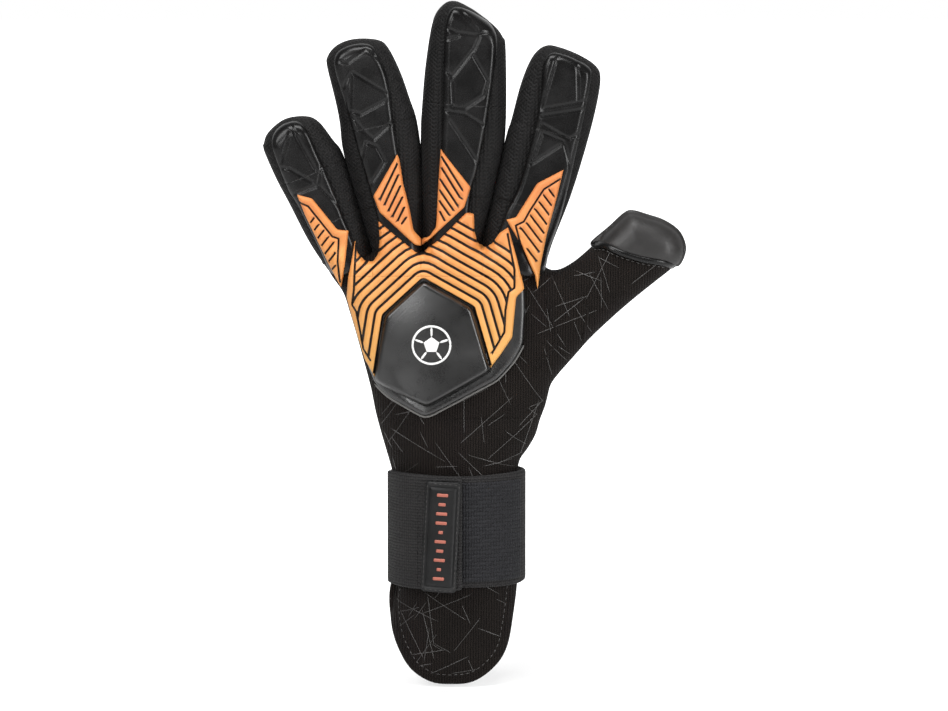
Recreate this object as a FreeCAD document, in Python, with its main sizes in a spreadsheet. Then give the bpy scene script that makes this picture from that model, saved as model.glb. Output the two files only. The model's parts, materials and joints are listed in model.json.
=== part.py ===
"""Goalkeeper glove for the left hand, as a parametric document of flat-cut foam pieces.

Frame, in millimetres: the origin is the lowest middle point of the wrist opening,
+Z runs up towards the fingertips, +X towards the thumb, -Y is the back of the hand
and +Y is the palm. A finger's own frame has its origin on the knuckle line and its
Z axis along the finger, which leans away from the middle of the hand.
"""
import FreeCAD, Part
import math
import os
import re

import Sketcher

SIZES = (
    # cuff and closing strap, round the wrist
    ("cuff_half", 28.0), ("cuff_rise", 21.5), ("cuff_wall", 3.0), ("cuff_low", 36.0),
    ("tongue_drop", 26.0), ("strap_low", 44.0), ("strap_width", 50.0), ("strap_gauge", 2.5),
    ("loop_gauge", 0.8), ("hook_gauge", 0.8), ("label_gauge", 1.2), ("running_gap", 0.35),
    ("strap_from", -70.0), ("strap_to", 3.0), ("label_from", -24.0), ("loop_to", 40.0),
    ("label_border", 1.5), ("patch_border", 3.0),
    # heights of the wrist crease and of the knuckle line above it
    ("wrist_height", 105.0), ("wrist_gap", 4.5), ("palm_length", 85.0),
    # creases at the joints, half the gap on each side
    ("palm_crease", 2.4), ("back_crease", 0.6),
    # layers through the glove, from the palm to the back
    ("palm_foam", 4.0), ("palm_inside", 12.0), ("finger_inside", 8.0), ("hand_inside", 12.0),
    ("finger_foam", 4.0), ("knit_gauge", 2.0), ("panel_foam", 3.0), ("punch_foam", 2.0),
    ("finger_punch", 3.0), ("boss_height", 4.0), ("boss_bevel", 1.2), ("badge_gauge", 0.6),
    ("badge_radius", 8.0), ("side_wall", 2.5), ("edge_round", 1.0),
    # outline of the hand below the knuckles, measured from the middle line
    ("wrist_left", 34.3), ("wrist_right", 35.5), ("waist_left", 38.7), ("waist_up", 21.5),
    ("heel_right", 41.0), ("heel_up", 20.5), ("edge_left", 48.8), ("edge_down", 21.5),
    # each finger: place, lean, half-widths at the base, joints, length and widths
    ("little_x", -52.8), ("little_lean", 21.5), ("little_left", 11.5), ("little_right", 9.0),
    ("little_mid", 28.0), ("little_end", 45.0), ("little_reach", 64.0), ("little_width", 26.0),
    ("little_taper", 4.0), ("little_round", 1.50),
    ("ring_x", -26.4), ("ring_lean", 11.6), ("ring_left", 9.5), ("ring_right", 10.5),
    ("ring_mid", 43.0), ("ring_end", 69.5), ("ring_reach", 95.0), ("ring_width", 26.0),
    ("ring_taper", 3.5), ("ring_round", 1.75),
    ("middle_x", -2.4), ("middle_lean", 3.5), ("middle_left", 10.5), ("middle_right", 10.5),
    ("middle_mid", 50.0), ("middle_end", 80.0), ("middle_reach", 110.0), ("middle_width", 29.0),
    ("middle_taper", 5.0), ("middle_round", 1.50),
    ("index_x", 26.2), ("index_lean", 14.3), ("index_left", 10.5), ("index_right", 12.5),
    ("index_mid", 42.0), ("index_end", 68.0), ("index_reach", 93.0), ("index_width", 29.0),
    ("index_taper", 5.0), ("index_round", 1.50),
    ("thumb_x", 42.2), ("thumb_z", 163.3), ("thumb_lean", 53.0), ("thumb_left", 12.5),
    ("thumb_right", 13.5), ("thumb_end", 25.7), ("thumb_reach", 65.0), ("thumb_width", 28.0),
    ("thumb_taper", 4.0), ("thumb_round", 2.00),
)
FINGERS = (("little", -1), ("ring", -1), ("middle", 1), ("index", 1))
ALIASES = {alias for alias, _ in SIZES}
DRAWN_PALM = 85.0    # palm length that the outlines on the back of the hand are drawn for

doc = FreeCAD.newDocument("GoalkeeperGlove")
sheet = doc.addObject("Spreadsheet::Sheet", "Sizes")
for row, (alias, value) in enumerate(SIZES, start=1):
    sheet.set("A%d" % row, alias)
    sheet.set("B%d" % row, str(value))
    sheet.setAlias("B%d" % row, alias)
doc.recompute()

nodes = []


def bound(text):
    """The expression with the sheet's name put before each of its aliases."""
    return re.sub(r"[a-z]\w*", lambda word: "Sizes." + word[0] if word[0] in ALIASES else word[0], str(text))


def value_of(text):
    """What an expression comes to with the sheet's present numbers."""
    return float(sheet.evalExpression(bound(text)))


# ---------------------------------------------------------------- sketches and features

def new_body(label):
    body = doc.addObject("PartDesign::Body", label)
    body.Label = label
    nodes.append(body)
    return body


def new_sketch(body, name, role, level):
    """A sketch on one of the body's own origin planes, moved along the plane's normal."""
    sketch = body.newObject("Sketcher::SketchObject", name)
    plane = next(item for item in body.Origin.OriginFeatures if item.Role == role)
    sketch.AttachmentSupport = [(plane, "")]
    sketch.MapMode = "FlatFace"
    sketch.setExpression("AttachmentOffset.Base.z", bound(level))
    return sketch


def arc_middle(start, end, radius, bulge):
    """The middle of the arc between two points; bulge 1 is to the right of the way along."""
    half = math.dist(start, end) / 2
    rise = radius - math.sqrt(max(radius ** 2 - half ** 2, 0.0))
    across = ((end[1] - start[1]) / (2 * half), (start[0] - end[0]) / (2 * half))
    return tuple((start[i] + end[i]) / 2 + bulge * rise * across[i] for i in (0, 1))


def draw_loop(sketch, loop):
    """One closed outline. A point is (x, y), or (x, y, radius, bulge) where an arc follows it."""
    first = sketch.GeometryCount
    places = [(value_of(point[0]), value_of(point[1])) for point in loop]
    ends = []
    for i, point in enumerate(loop):
        start, end = places[i], places[(i + 1) % len(loop)]
        if len(point) == 2:
            edge = Part.LineSegment(FreeCAD.Vector(*start, 0), FreeCAD.Vector(*end, 0))
            ends.append((1, 2))
        else:
            middle = arc_middle(start, end, value_of(point[2]), point[3])
            edge = Part.Arc(*(FreeCAD.Vector(*place, 0) for place in (start, middle, end)))
            ends.append((1, 2) if point[3] > 0 else (2, 1))
        sketch.addGeometry(edge, False)
    for i, point in enumerate(loop):
        after = (i + 1) % len(loop)
        sketch.addConstraint(
            Sketcher.Constraint("Coincident", first + i, ends[i][1], first + after, ends[after][0]))
        if len(point) > 2:
            bind(sketch, Sketcher.Constraint("Radius", first + i, value_of(point[2])), point[2])
        for kind, place, text in zip(("DistanceX", "DistanceY"), places[i], point):
            bind(sketch, Sketcher.Constraint(kind, -1, 1, first + i, ends[i][0], place), text)


def bind(sketch, constraint, text):
    number = sketch.addConstraint(constraint)
    sketch.setExpression("Constraints[%d]" % number, bound(text))


def put_pad(body, role, loops, level, height):
    sketch = new_sketch(body, body.Name + "_outline", role, level)
    for loop in loops:
        draw_loop(sketch, loop)
    pad = body.newObject("PartDesign::Pad", body.Name + "_pad")
    pad.Profile = sketch
    pad.setExpression("Length", bound(height))
    return pad


def panel(label, loops, back, front):
    """A flat-cut piece: outlines in X and Z, from y = back to y = front."""
    body = new_body(label)
    put_pad(body, "XZ_Plane", loops, "-(%s)" % front, "(%s) - (%s)" % (front, back))
    return body


def upright(label, loops, low, high):
    """A piece that wraps the wrist: outlines in X and Y, from z = low to z = high."""
    body = new_body(label)
    put_pad(body, "XY_Plane", loops, low, "(%s) - (%s)" % (high, low))
    return body


def dress_outer_face(body, kind, size):
    """Round or bevel the rim of the face that looks out of the back of the hand."""
    doc.recompute()
    faces = body.Shape.Faces
    outer = min(range(len(faces)), key=lambda i: faces[i].CenterOfMass.y)
    base = body.Tip
    dress = body.newObject("PartDesign::" + kind, body.Name + "_rim")
    dress.Base = (base, ["Face%d" % (outer + 1)])
    dress.setExpression("Radius" if kind == "Fillet" else "Size", bound(size))


def place_on_finger(body, finger, side):
    """Stand a piece in a finger's own frame; side is -1 for a lean to the left."""
    body.Placement = FreeCAD.Placement(FreeCAD.Vector(), FreeCAD.Rotation(FreeCAD.Vector(0, side, 0), 1))
    body.setExpression("Placement.Base.x", bound("%s_x" % finger))
    height = "thumb_z" if finger == "thumb" else "wrist_height + palm_length"
    body.setExpression("Placement.Base.z", bound(height))
    body.setExpression("Placement.Rotation.Angle", bound("%s_lean" % finger))


# ---------------------------------------------------------------- fingers and thumb

PALM_LAYER = ("palm_inside", "palm_inside + palm_foam")
BACK_LAYER = ("-finger_inside - finger_foam", "-finger_inside")
SIDE_LAYER = ("-finger_inside", "palm_inside")
KNUCKLE = "(wrist_height + palm_length)"


def base_height(finger, side, x, gap):
    """Height of the base's edge: level with the knuckle line, or square to the thumb."""
    if finger == "thumb":
        return gap
    return "%d * (%s) * tan(%s_lean) + %s / cos(%s_lean)" % (side, x, finger, gap, finger)


def levels(finger):
    """Height and half-widths (left, right) at each joint of a finger, from its base up."""
    half = "%s_width / 2" % finger
    joints = ("end",) if finger == "thumb" else ("mid", "end")
    found = [(None, "%s_left" % finger, "%s_right" % finger)]
    return found + [("%s_%s" % (finger, joint), half, half) for joint in joints]


def low_corners(finger, side, level, gap, inset="0"):
    height, left, right = level
    left, right = "-%s + %s" % (left, inset), "%s - %s" % (right, inset)
    if height is None:
        heights = [base_height(finger, side, x, gap) for x in (left, right)]
    else:
        heights = ["%s + %s" % (height, gap)] * 2
    return (left, heights[0]), (right, heights[1])


def high_corners(level, gap, inset="0"):
    height, left, right = level
    top = "%s - %s" % (height, gap)
    return ("%s - %s" % (right, inset), top), ("-%s + %s" % (left, inset), top)


def tip_corners(finger, inset="0"):
    """The two ends of the fingertip's arc, right and left, and the arc's radius."""
    tip = "(%s_width - %s_taper) / 2" % (finger, finger)
    half = "(%s - %s)" % (tip, inset)
    radius = "(%s + %s_round - %s)" % (tip, finger, inset)
    height = "%s_reach - %s - %s_round + sqrt(%s ^ 2 - %s ^ 2)" % (finger, tip, finger, radius, half)
    return (half, height), ("-" + half, height), radius


def segment_outline(finger, side, low, high, gap, inset="0"):
    bottom_left, bottom_right = low_corners(finger, side, low, gap, inset)
    if high is not None:
        return [bottom_left, bottom_right, *high_corners(high, gap, inset)]
    right, left, radius = tip_corners(finger, inset)
    return [bottom_left, bottom_right, (*right, radius, 1), left]


def side_loops(finger, side, low, high):
    """Outlines of the side walls: two strips, or one wall that runs round the fingertip."""
    outer = segment_outline(finger, side, low, high, "back_crease")
    inner = segment_outline(finger, side, low, high, "back_crease", "side_wall")
    if high is not None:
        return [[outer[0], inner[0], inner[3], outer[3]], [inner[1], outer[1], outer[2], inner[2]]]
    inner_left = (*inner[3], inner[2][2], -1)
    return [[outer[1], outer[2], outer[3], outer[0], inner[0], inner_left, inner[2][:2], inner[1]]]


def build_finger(finger, side, names):
    joints = levels(finger) + [None]
    for name, low, high in zip(names, joints, joints[1:]):
        label = "%s_%s" % (finger, name)
        pieces = (
            panel(label + "_palm", [segment_outline(finger, side, low, high, "palm_crease")], *PALM_LAYER),
            panel(label + "_back", [segment_outline(finger, side, low, high, "back_crease")], *BACK_LAYER),
            panel(label + "_gusset", side_loops(finger, side, low, high), *SIDE_LAYER),
        )
        for piece in pieces:
            place_on_finger(piece, finger, side)
        dress_outer_face(pieces[1], "Fillet", "edge_round")


for finger, side in FINGERS:
    build_finger(finger, side, ("proximal", "middle", "distal"))
build_finger("thumb", 1, ("base", "tip"))

# ---------------------------------------------------------------- orange pads on the finger bases

FINGER_PADS = (
    ("punch_wing_little", "little", -1,
     ((-5.6, 7.5), (-3.0, 3.4), (7.5, -1.5), (8.0, 6.3), (3.8, 8.5), (0.3, 20.0), (-2.0, 25.5), (-7.0, 26.5))),
    ("punch_diamond_ring", "ring", -1,
     ((7.8, 1.2), (10.3, 0.6), (8.6, 16.0), (8.7, 41.0), (-5.6, 25.4), (-4.4, 18.0))),
    ("punch_diamond_middle", "middle", 1,
     ((-9.8, 2.0), (-6.0, 4.0), (4.3, 19.3), (6.4, 28.0), (-7.8, 44.0), (-7.8, 15.0), (-10.0, 5.0))),
    ("punch_wing_index", "index", 1,
     ((-8.5, -0.5), (8.8, 4.5), (9.1, 18.7), (10.5, 39.0), (0.5, 30.7), (-2.1, 21.7), (-4.7, 14.0), (-8.7, 12.0))),
)
for label, finger, side, outline in FINGER_PADS:
    outer = "-finger_inside - finger_foam - finger_punch"
    pad = panel(label, [outline], outer, "-finger_inside - finger_foam")
    place_on_finger(pad, finger, side)
    dress_outer_face(pad, "Fillet", "edge_round / 2")

# ---------------------------------------------------------------- hand between wrist and knuckles

HAND_LOW = "wrist_height + wrist_gap"
LITTLE_SIDE = "little_x - little_left / cos(little_lean)"
INDEX_SIDE = "index_x + index_right / cos(index_lean)"


def thumb_seam(along, gap):
    """A point beside the thumb's base joint, `along` the joint's line and `gap` behind it."""
    x = "thumb_x + (%s) * cos(thumb_lean) - %s * sin(thumb_lean)" % (along, gap)
    return x, "thumb_z - (%s) * sin(thumb_lean) - %s * cos(thumb_lean)" % (along, gap)


def hand_edges(gap):
    """The little-finger edge from the top down, then the two stretches of the thumb edge."""
    top = "%s - %s" % (KNUCKLE, gap)
    left = [(LITTLE_SIDE, top), ("-edge_left", "%s - edge_down" % KNUCKLE),
            ("-waist_left", "%s + waist_up" % HAND_LOW), ("-wrist_left", HAND_LOW)]
    lower_right = [("wrist_right", HAND_LOW), ("heel_right", "%s + heel_up" % HAND_LOW),
                   thumb_seam("thumb_right", gap)]
    return left, lower_right, [thumb_seam("-thumb_left", gap), (INDEX_SIDE, top)]


def wall_along(edge, shift):
    """A side wall: the edge and the same edge moved in by the wall's thickness."""
    return edge + [("%s %s side_wall" % (x, shift), z) for x, z in reversed(edge)]


def drawn(points):
    """Outline points on the back of the hand, given as x and the drop below the knuckles."""
    return [(x, "%s - %s * palm_length / %s" % (KNUCKLE, drop, DRAWN_PALM)) for x, drop in points]


left, lower_right, upper_right = hand_edges("palm_crease")
panel("palm_latex", [left + lower_right + upper_right], *PALM_LAYER)
left, lower_right, upper_right = hand_edges("back_crease")
panel("backhand_knit", [left + lower_right + upper_right], "-hand_inside - knit_gauge", "-hand_inside")
side_walls = [wall_along(left, "+"), wall_along(lower_right, "-"), wall_along(upper_right, "-")]
panel("hand_gussets", side_walls, "-hand_inside", "palm_inside")

panel_face = "-hand_inside - knit_gauge - panel_foam"
foam_outline = drawn(((-47.0, 0.6), (-48.0, 21.5), (-36.0, 59.0), (-14.0, 71.5), (28.0, 52.5),
                      (30.0, 41.0), (29.0, 17.0), (26.0, 0.6)))
panel("backhand_foam", [foam_outline], panel_face, "-hand_inside - knit_gauge")

BOSS = ((-15.0, 14.4), (-31.0, 28.8), (-35.2, 56.5), (-13.2, 66.4), (13.0, 52.2), (5.5, 25.8))
arch = drawn(((-45.0, 0.6), (-47.0, 16.0), (-46.5, 27.0), (-36.5, 55.5), BOSS[2], BOSS[1], BOSS[0], BOSS[5],
              BOSS[4], (18.5, 46.0), (24.0, 38.0), (25.5, 21.0), (28.5, 17.0), (25.5, 0.6)))
punch_pad = panel("punch_pad", [arch], panel_face + " - punch_foam", panel_face)
dress_outer_face(punch_pad, "Fillet", "punch_foam / 4")

boss_face = panel_face + " - boss_height"
boss = panel("knuckle_boss", [drawn(BOSS)], boss_face, panel_face)
dress_outer_face(boss, "Chamfer", "boss_bevel")

BADGE_CENTRE = (-11.5, 41.0)
badge_x, badge_z = drawn([BADGE_CENTRE])[0]
badge = [("%s + badge_radius * cos(%s)" % (badge_x, turn), "%s + badge_radius * sin(%s)" % (badge_z, turn))
         for turn in range(90, 450, 72)]
panel("badge_inlay", [badge], boss_face + " - badge_gauge", boss_face)

# ---------------------------------------------------------------- cuff round the wrist

CUFF_TOP = "wrist_height - wrist_gap"
STRAP_OUT = "strap_gauge"


def wrap_radius(grow):
    """Radius of the arc that wraps one side of the wrist, grown outwards."""
    return "((cuff_half ^ 2 + cuff_rise ^ 2) / (2 * cuff_rise) + %s)" % grow


def wrap_ends(grow):
    """Half-width of the arc where it meets the middle plane between back and palm."""
    offset = "((cuff_half ^ 2 - cuff_rise ^ 2) / (2 * cuff_rise))"
    return "sqrt(%s ^ 2 - %s ^ 2)" % (wrap_radius(grow), offset)


def half_wall(facing, inner, outer):
    """Half of a wrapped wall; facing is -1 on the back of the hand and 1 on the palm."""
    out, into = wrap_ends(outer), wrap_ends(inner)
    if facing < 0:
        return [("-" + out, "0", wrap_radius(outer), 1), (out, "0"), (into, "0", wrap_radius(inner), -1),
                ("-" + into, "0")]
    return [(out, "0", wrap_radius(outer), 1), ("-" + out, "0"), ("-" + into, "0", wrap_radius(inner), -1),
            (into, "0")]


def full_wrap(grow):
    end = wrap_ends(grow)
    return [("-" + end, "0", wrap_radius(grow), 1), (end, "0", wrap_radius(grow), 1)]


def strip(start, end, inner, outer):
    """A strip that follows the back of the wrist between two angles from the middle line."""
    centre = "((cuff_half ^ 2 - cuff_rise ^ 2) / (2 * cuff_rise))"

    def place(angle, grow):
        radius = wrap_radius(grow)
        return "%s * sin(%s)" % (radius, angle), "%s - %s * cos(%s)" % (centre, radius, angle)

    return [(*place(start, outer), wrap_radius(outer), 1), place(end, outer),
            (*place(end, inner), wrap_radius(inner), -1), place(start, inner)]


cuff_back = upright("cuff_back", [half_wall(-1, "-cuff_wall", "0")], "0", CUFF_TOP)
doc.recompute()
whole_volume = cuff_back.Shape.Volume
cut_sketch = new_sketch(cuff_back, "tongue_outline", "XZ_Plane", "0")
draw_loop(cut_sketch, [("-2 * cuff_half", "-cuff_low"), ("2 * cuff_half", "-cuff_low"),
                       ("2 * cuff_half", "tongue_drop"),
                       ("cuff_half", "tongue_drop",
                        "(cuff_half ^ 2 + tongue_drop ^ 2) / (2 * tongue_drop)", -1),
                       ("-cuff_half", "tongue_drop"), ("-2 * cuff_half", "tongue_drop")])
cut = cuff_back.newObject("PartDesign::Pocket", "tongue_cut")
cut.Profile = cut_sketch
cut.Reversed = True
cut.setExpression("Length", bound("2 * cuff_half"))
doc.recompute()
if cuff_back.Shape.Volume > 0.98 * whole_volume:
    raise RuntimeError("the tongue's cut points away from the cuff")
upright("cuff_palm", [half_wall(1, "-cuff_wall", "0")], "cuff_low", CUFF_TOP)

STRAP_TOP = "strap_low + strap_width"
upright("strap_band", [full_wrap(STRAP_OUT), full_wrap("0")], "strap_low", STRAP_TOP)
LOOP_OUT = STRAP_OUT + " + loop_gauge"
HOOK_IN = LOOP_OUT + " + running_gap"
TONGUE_IN = HOOK_IN + " + hook_gauge"
TONGUE_OUT = TONGUE_IN + " + strap_gauge"
inside_strap = ("strap_low + patch_border", STRAP_TOP + " - patch_border")
upright("loop_patch", [strip("label_from", "loop_to", STRAP_OUT, LOOP_OUT)], *inside_strap)
upright("hook_patch", [strip("label_from", "strap_to - 2", HOOK_IN, TONGUE_IN)], *inside_strap)
upright("strap_tongue", [strip("strap_from", "strap_to", TONGUE_IN, TONGUE_OUT)], "strap_low", STRAP_TOP)
upright("strap_label", [strip("label_from", "strap_to", TONGUE_OUT, TONGUE_OUT + " + label_gauge")],
        "strap_low + label_border", STRAP_TOP + " - label_border")

# ---------------------------------------------------------------- checks and files

doc.recompute()
for item in doc.Objects:
    if {"Invalid", "Error"} & set(item.State):
        raise RuntimeError("%s failed: %s" % (item.Label, item.State))
for body in nodes:
    if body.Shape.isNull() or not body.Shape.isValid() or not body.Shape.Solids:
        raise RuntimeError("%s has no valid solid" % body.Label)

os.makedirs("parts", exist_ok=True)
for body in nodes:
    body.Shape.exportStep("parts/%s.step" % body.Label)
print("%d nodes written" % len(nodes))
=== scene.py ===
# %% [markdown]
# # A goalkeeper glove, layer by layer
# The glove is a flat-cut one: foam and fabric are cut as outlines, seen from the back of the hand,
# and each layer has its own thickness. So every piece here starts as an outline in X and Z, and
# a height function says how far it stands out of the glove's middle plane, which is Y = 0.

# %% Load the frame
import json
import math

import bmesh
import bpy
import numpy as np
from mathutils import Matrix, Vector
from mathutils.geometry import delaunay_2d_cdt


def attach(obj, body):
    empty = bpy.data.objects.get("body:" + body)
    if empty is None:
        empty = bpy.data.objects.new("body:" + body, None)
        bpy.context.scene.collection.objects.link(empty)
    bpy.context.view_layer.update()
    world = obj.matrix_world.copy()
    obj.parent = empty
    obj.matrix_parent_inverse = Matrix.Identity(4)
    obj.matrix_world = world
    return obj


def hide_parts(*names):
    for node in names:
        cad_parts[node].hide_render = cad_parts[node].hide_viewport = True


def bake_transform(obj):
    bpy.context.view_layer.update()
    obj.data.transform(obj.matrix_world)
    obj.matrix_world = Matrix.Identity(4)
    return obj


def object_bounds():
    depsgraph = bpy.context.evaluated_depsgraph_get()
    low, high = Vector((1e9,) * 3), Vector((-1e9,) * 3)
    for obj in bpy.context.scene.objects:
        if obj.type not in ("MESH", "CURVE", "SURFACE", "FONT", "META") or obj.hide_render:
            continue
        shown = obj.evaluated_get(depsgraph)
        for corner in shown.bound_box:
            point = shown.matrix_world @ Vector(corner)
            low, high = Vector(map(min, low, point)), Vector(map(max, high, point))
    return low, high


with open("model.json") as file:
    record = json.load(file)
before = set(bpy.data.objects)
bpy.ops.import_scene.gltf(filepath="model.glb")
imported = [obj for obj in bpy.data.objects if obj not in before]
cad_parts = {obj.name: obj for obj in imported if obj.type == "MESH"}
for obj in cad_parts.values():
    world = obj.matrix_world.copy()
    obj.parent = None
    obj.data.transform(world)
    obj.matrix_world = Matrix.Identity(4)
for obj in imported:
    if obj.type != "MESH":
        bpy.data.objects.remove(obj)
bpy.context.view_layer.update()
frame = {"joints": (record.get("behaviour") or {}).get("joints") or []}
MM = 0.001
JOINTS = {joint["name"]: joint for joint in frame["joints"]}

# %% [markdown]
# ## Finger frames
# A finger leans away from the middle of the hand. Its outlines are far easier to read in its own
# frame, x across and z along, so the frame's joints say where that frame stands and how it leans.

# %% Finger frames from the joints
FINGERS = ("little", "ring", "middle", "index")


class Stall:
    """One finger's or the thumb's own frame, in millimetres."""

    def __init__(self, name, root_joint, lean_joint):
        root = JOINTS[root_joint]["pos_m"]
        axis = JOINTS[lean_joint]["axis"]
        self.name = name
        self.root = np.array([root[0], root[2]]) / MM
        self.hinge_y = root[1] / MM
        self.across = np.array([-axis[0], -axis[2]])
        self.along = np.array([axis[2], -axis[0]])

    def world(self, points):
        """Points given as (x, z) in the finger's frame, as (X, Z) of the glove."""
        points = np.asarray(points, float)
        return self.root + points[:, :1] * self.across + points[:, 1:] * self.along

    def reach(self, joint_name):
        """How far along the finger a joint lies."""
        place = JOINTS[joint_name]["pos_m"]
        return float((np.array([place[0], place[2]]) / MM - self.root) @ self.along)

    def point(self, along):
        """A point of the row frame, in metres, at that height on the hinge plane."""
        x, z = self.root + along * self.along
        return (x * MM, self.hinge_y * MM, z * MM)


STALLS = {name: Stall(name, name + "_knuckle", name + "_mid_joint") for name in FINGERS}
THUMB = Stall("thumb", "thumb_root", "thumb_joint")
KNUCKLE_Z = float(STALLS["middle"].root[1])
WRIST_Z = JOINTS["wrist_bend"]["pos_m"][2] / MM

# %% [markdown]
# ## Outlines
# A cut outline has few points. A Catmull-Rom curve through them gives the smooth edge that
# scissors leave, and straight-sided shapes get small arcs at their corners instead.


# %% Outline helpers
def smooth(points, step=1.0, closed=False):
    """A Catmull-Rom curve through the points, with points about step apart."""
    p = np.asarray(points, float)
    q = np.vstack([p[-1:], p, p[:2]]) if closed else np.vstack([2 * p[0] - p[1], p, 2 * p[-1] - p[-2]])
    out = []
    for a, b, c, d in zip(q, q[1:], q[2:], q[3:]):
        n = max(2, int(np.linalg.norm(c - b) / step))
        t = np.linspace(0, 1, n, endpoint=False)[:, None]
        out.append(0.5 * (2 * b + (c - a) * t + (2 * a - 5 * b + 4 * c - d) * t ** 2
                          + (3 * b - a - 3 * c + d) * t ** 3))
    curve = np.vstack(out)
    return curve if closed else np.vstack([curve, p[-1:]])


def rounded(points, radius, step=1.0, closed=True):
    """Straight runs joined by small round corners."""
    p = np.asarray(points, float)
    n, out = len(p), []
    for i in range(n):
        if not closed and i in (0, n - 1):
            out.append(p[i][None])
            continue
        before, here, after = p[i - 1], p[i], p[(i + 1) % n]
        cut = min(radius, 0.45 * np.linalg.norm(before - here), 0.45 * np.linalg.norm(after - here))
        start = here + cut * (before - here) / np.linalg.norm(before - here)
        end = here + cut * (after - here) / np.linalg.norm(after - here)
        t = np.linspace(0, 1, 5)[:, None]
        out.append((1 - t) ** 2 * start + 2 * t * (1 - t) * here + t ** 2 * end)
    return spread(np.vstack(out), step, closed)


def spread(line, step, closed=False):
    """Extra points on long edges, so that no edge is longer than step."""
    line = np.vstack([line, line[:1]]) if closed else line
    out = []
    for a, b in zip(line, line[1:]):
        n = max(1, int(np.ceil(np.linalg.norm(b - a) / step)))
        out.append(a + (b - a) * np.linspace(0, 1, n, endpoint=False)[:, None])
    return np.vstack(out) if closed else np.vstack(out + [line[-1:]])


def inside(points, outline):
    """Which points lie inside a closed outline."""
    x, z = points[:, 0][:, None], points[:, 1][:, None]
    a, b = outline, np.roll(outline, -1, axis=0)
    crosses = (a[:, 1] > z) != (b[:, 1] > z)
    rise = np.where(b[:, 1] == a[:, 1], 1e-12, b[:, 1] - a[:, 1])
    return (crosses & (x < (b[:, 0] - a[:, 0]) * (z - a[:, 1]) / rise + a[:, 0])).sum(1) % 2 == 1


def distance(points, line, closed=False):
    """How far each point is from a line of straight runs."""
    a = line if closed else line[:-1]
    b = np.roll(line, -1, axis=0) if closed else line[1:]
    out = np.full(len(points), np.inf)
    for k in range(0, len(points), 4000):
        p = points[k:k + 4000, None]
        d = b - a
        t = np.clip(((p - a) * d).sum(2) / np.maximum((d * d).sum(1), 1e-12), 0, 1)
        out[k:k + 4000] = np.sqrt((((a + t[..., None] * d) - p) ** 2).sum(2).min(1))
    return out


def offset(line, by, closed=False):
    """The line moved to its left by a distance, point by point."""
    ahead = np.roll(line, -1, 0) - np.roll(line, 1, 0) if closed else np.gradient(line, axis=0)
    ahead /= np.maximum(np.linalg.norm(ahead, axis=1), 1e-9)[:, None]
    return line + by * np.stack([-ahead[:, 1], ahead[:, 0]], axis=1)


def counter_clockwise(outline):
    x, z = outline.T
    area = (x * np.roll(z, -1) - np.roll(x, -1) * z).sum()
    return outline if area > 0 else outline[::-1]


def smoothstep(value, low, high):
    t = np.clip((value - low) / (high - low), 0, 1)
    return t * t * (3 - 2 * t)


def runs_inside(line, field, step=0.5, shortest=2.0):
    """The stretches of a line that lie inside a closed field."""
    line = spread(line, step)
    keep = inside(line, field)
    edges = np.flatnonzero(np.diff(np.concatenate([[0], keep.astype(int), [0]])))
    runs = [line[a:b] for a, b in zip(edges[::2], edges[1::2])]
    return [run for run in runs if (len(run) - 1) * step > shortest]


# %% [markdown]
# ## Moulded foam as a mesh
# Foam that is pressed in a mould has clean grooves. A grid of squares would cut them into steps,
# so the mesh is a Delaunay triangulation that holds every groove's edges and the outline as
# fixed edges. The height function then lifts the points, and each groove keeps a crisp lip. A
# soft crease has no lips, so it needs only a fine pitch.


# %% The relief mesher
class Groove:
    """A channel along a line: half its width at the top, and its depth; a soft one is a crease."""

    def __init__(self, line, half, depth, closed=False, soft=False):
        self.line, self.half, self.depth = np.asarray(line, float), half, depth
        self.closed, self.soft = closed, soft

    def loops(self):
        """Closed outlines of the channel's lips and of its floor; a soft crease has none."""
        for share in () if self.soft else (1, 0.5):
            half = share * self.half
            left, right = offset(self.line, half, self.closed), offset(self.line, -half, self.closed)
            if self.closed:
                yield left
                yield right
            else:
                yield np.vstack([left, right[::-1]])

    def cut(self, points):
        """How deep the channel is at each point, from 0 to 1."""
        far = distance(points, self.line, self.closed)
        if self.soft:
            return (1 - np.clip(far / self.half, 0, 1) ** 2) ** 2
        return 1 - smoothstep(far, 0.5 * self.half, self.half)


def triangulate(outline, loops, pitch):
    """Points and triangles that fill an outline and keep every loop's edges."""
    loops = [outline] + list(loops)
    low, high = outline.min(0), outline.max(0)
    rows = np.arange(low[1], high[1], pitch * 0.87)
    across = [np.arange(low[0] + (i % 2) * pitch / 2, high[0], pitch) for i in range(len(rows))]
    grid = np.vstack([np.stack([x, np.full(len(x), z)], 1) for x, z in zip(across, rows)])
    grid = grid[inside(grid, outline)]
    for loop in loops:
        box = (grid > loop.min(0) - pitch).all(1) & (grid < loop.max(0) + pitch).all(1)
        near = np.zeros(len(grid), bool)
        near[box] = distance(grid[box], loop, True) < 0.45 * pitch
        grid = grid[~near]
    points, edges = [], []
    for loop in loops:
        first = len(points)
        points += [Vector(p) for p in loop]
        edges += [(first + i, first + (i + 1) % len(loop)) for i in range(len(loop))]
    points += [Vector(p) for p in grid]
    found = delaunay_2d_cdt(points, edges, [], 0, 1e-4)
    flat = np.array([tuple(p) for p in found[0]])
    faces = np.array([f for f in found[2] if len(f) == 3])
    middles = flat[faces].mean(1)
    faces = faces[inside(middles, outline)]
    a, b, c = (flat[faces[:, i]] for i in range(3))
    turn = (b[:, 0] - a[:, 0]) * (c[:, 1] - a[:, 1]) - (b[:, 1] - a[:, 1]) * (c[:, 0] - a[:, 0])
    faces[turn < 0] = faces[turn < 0][:, ::-1]
    used, faces = np.unique(faces, return_inverse=True)
    return flat[used], faces.reshape(-1, 3)


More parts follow.
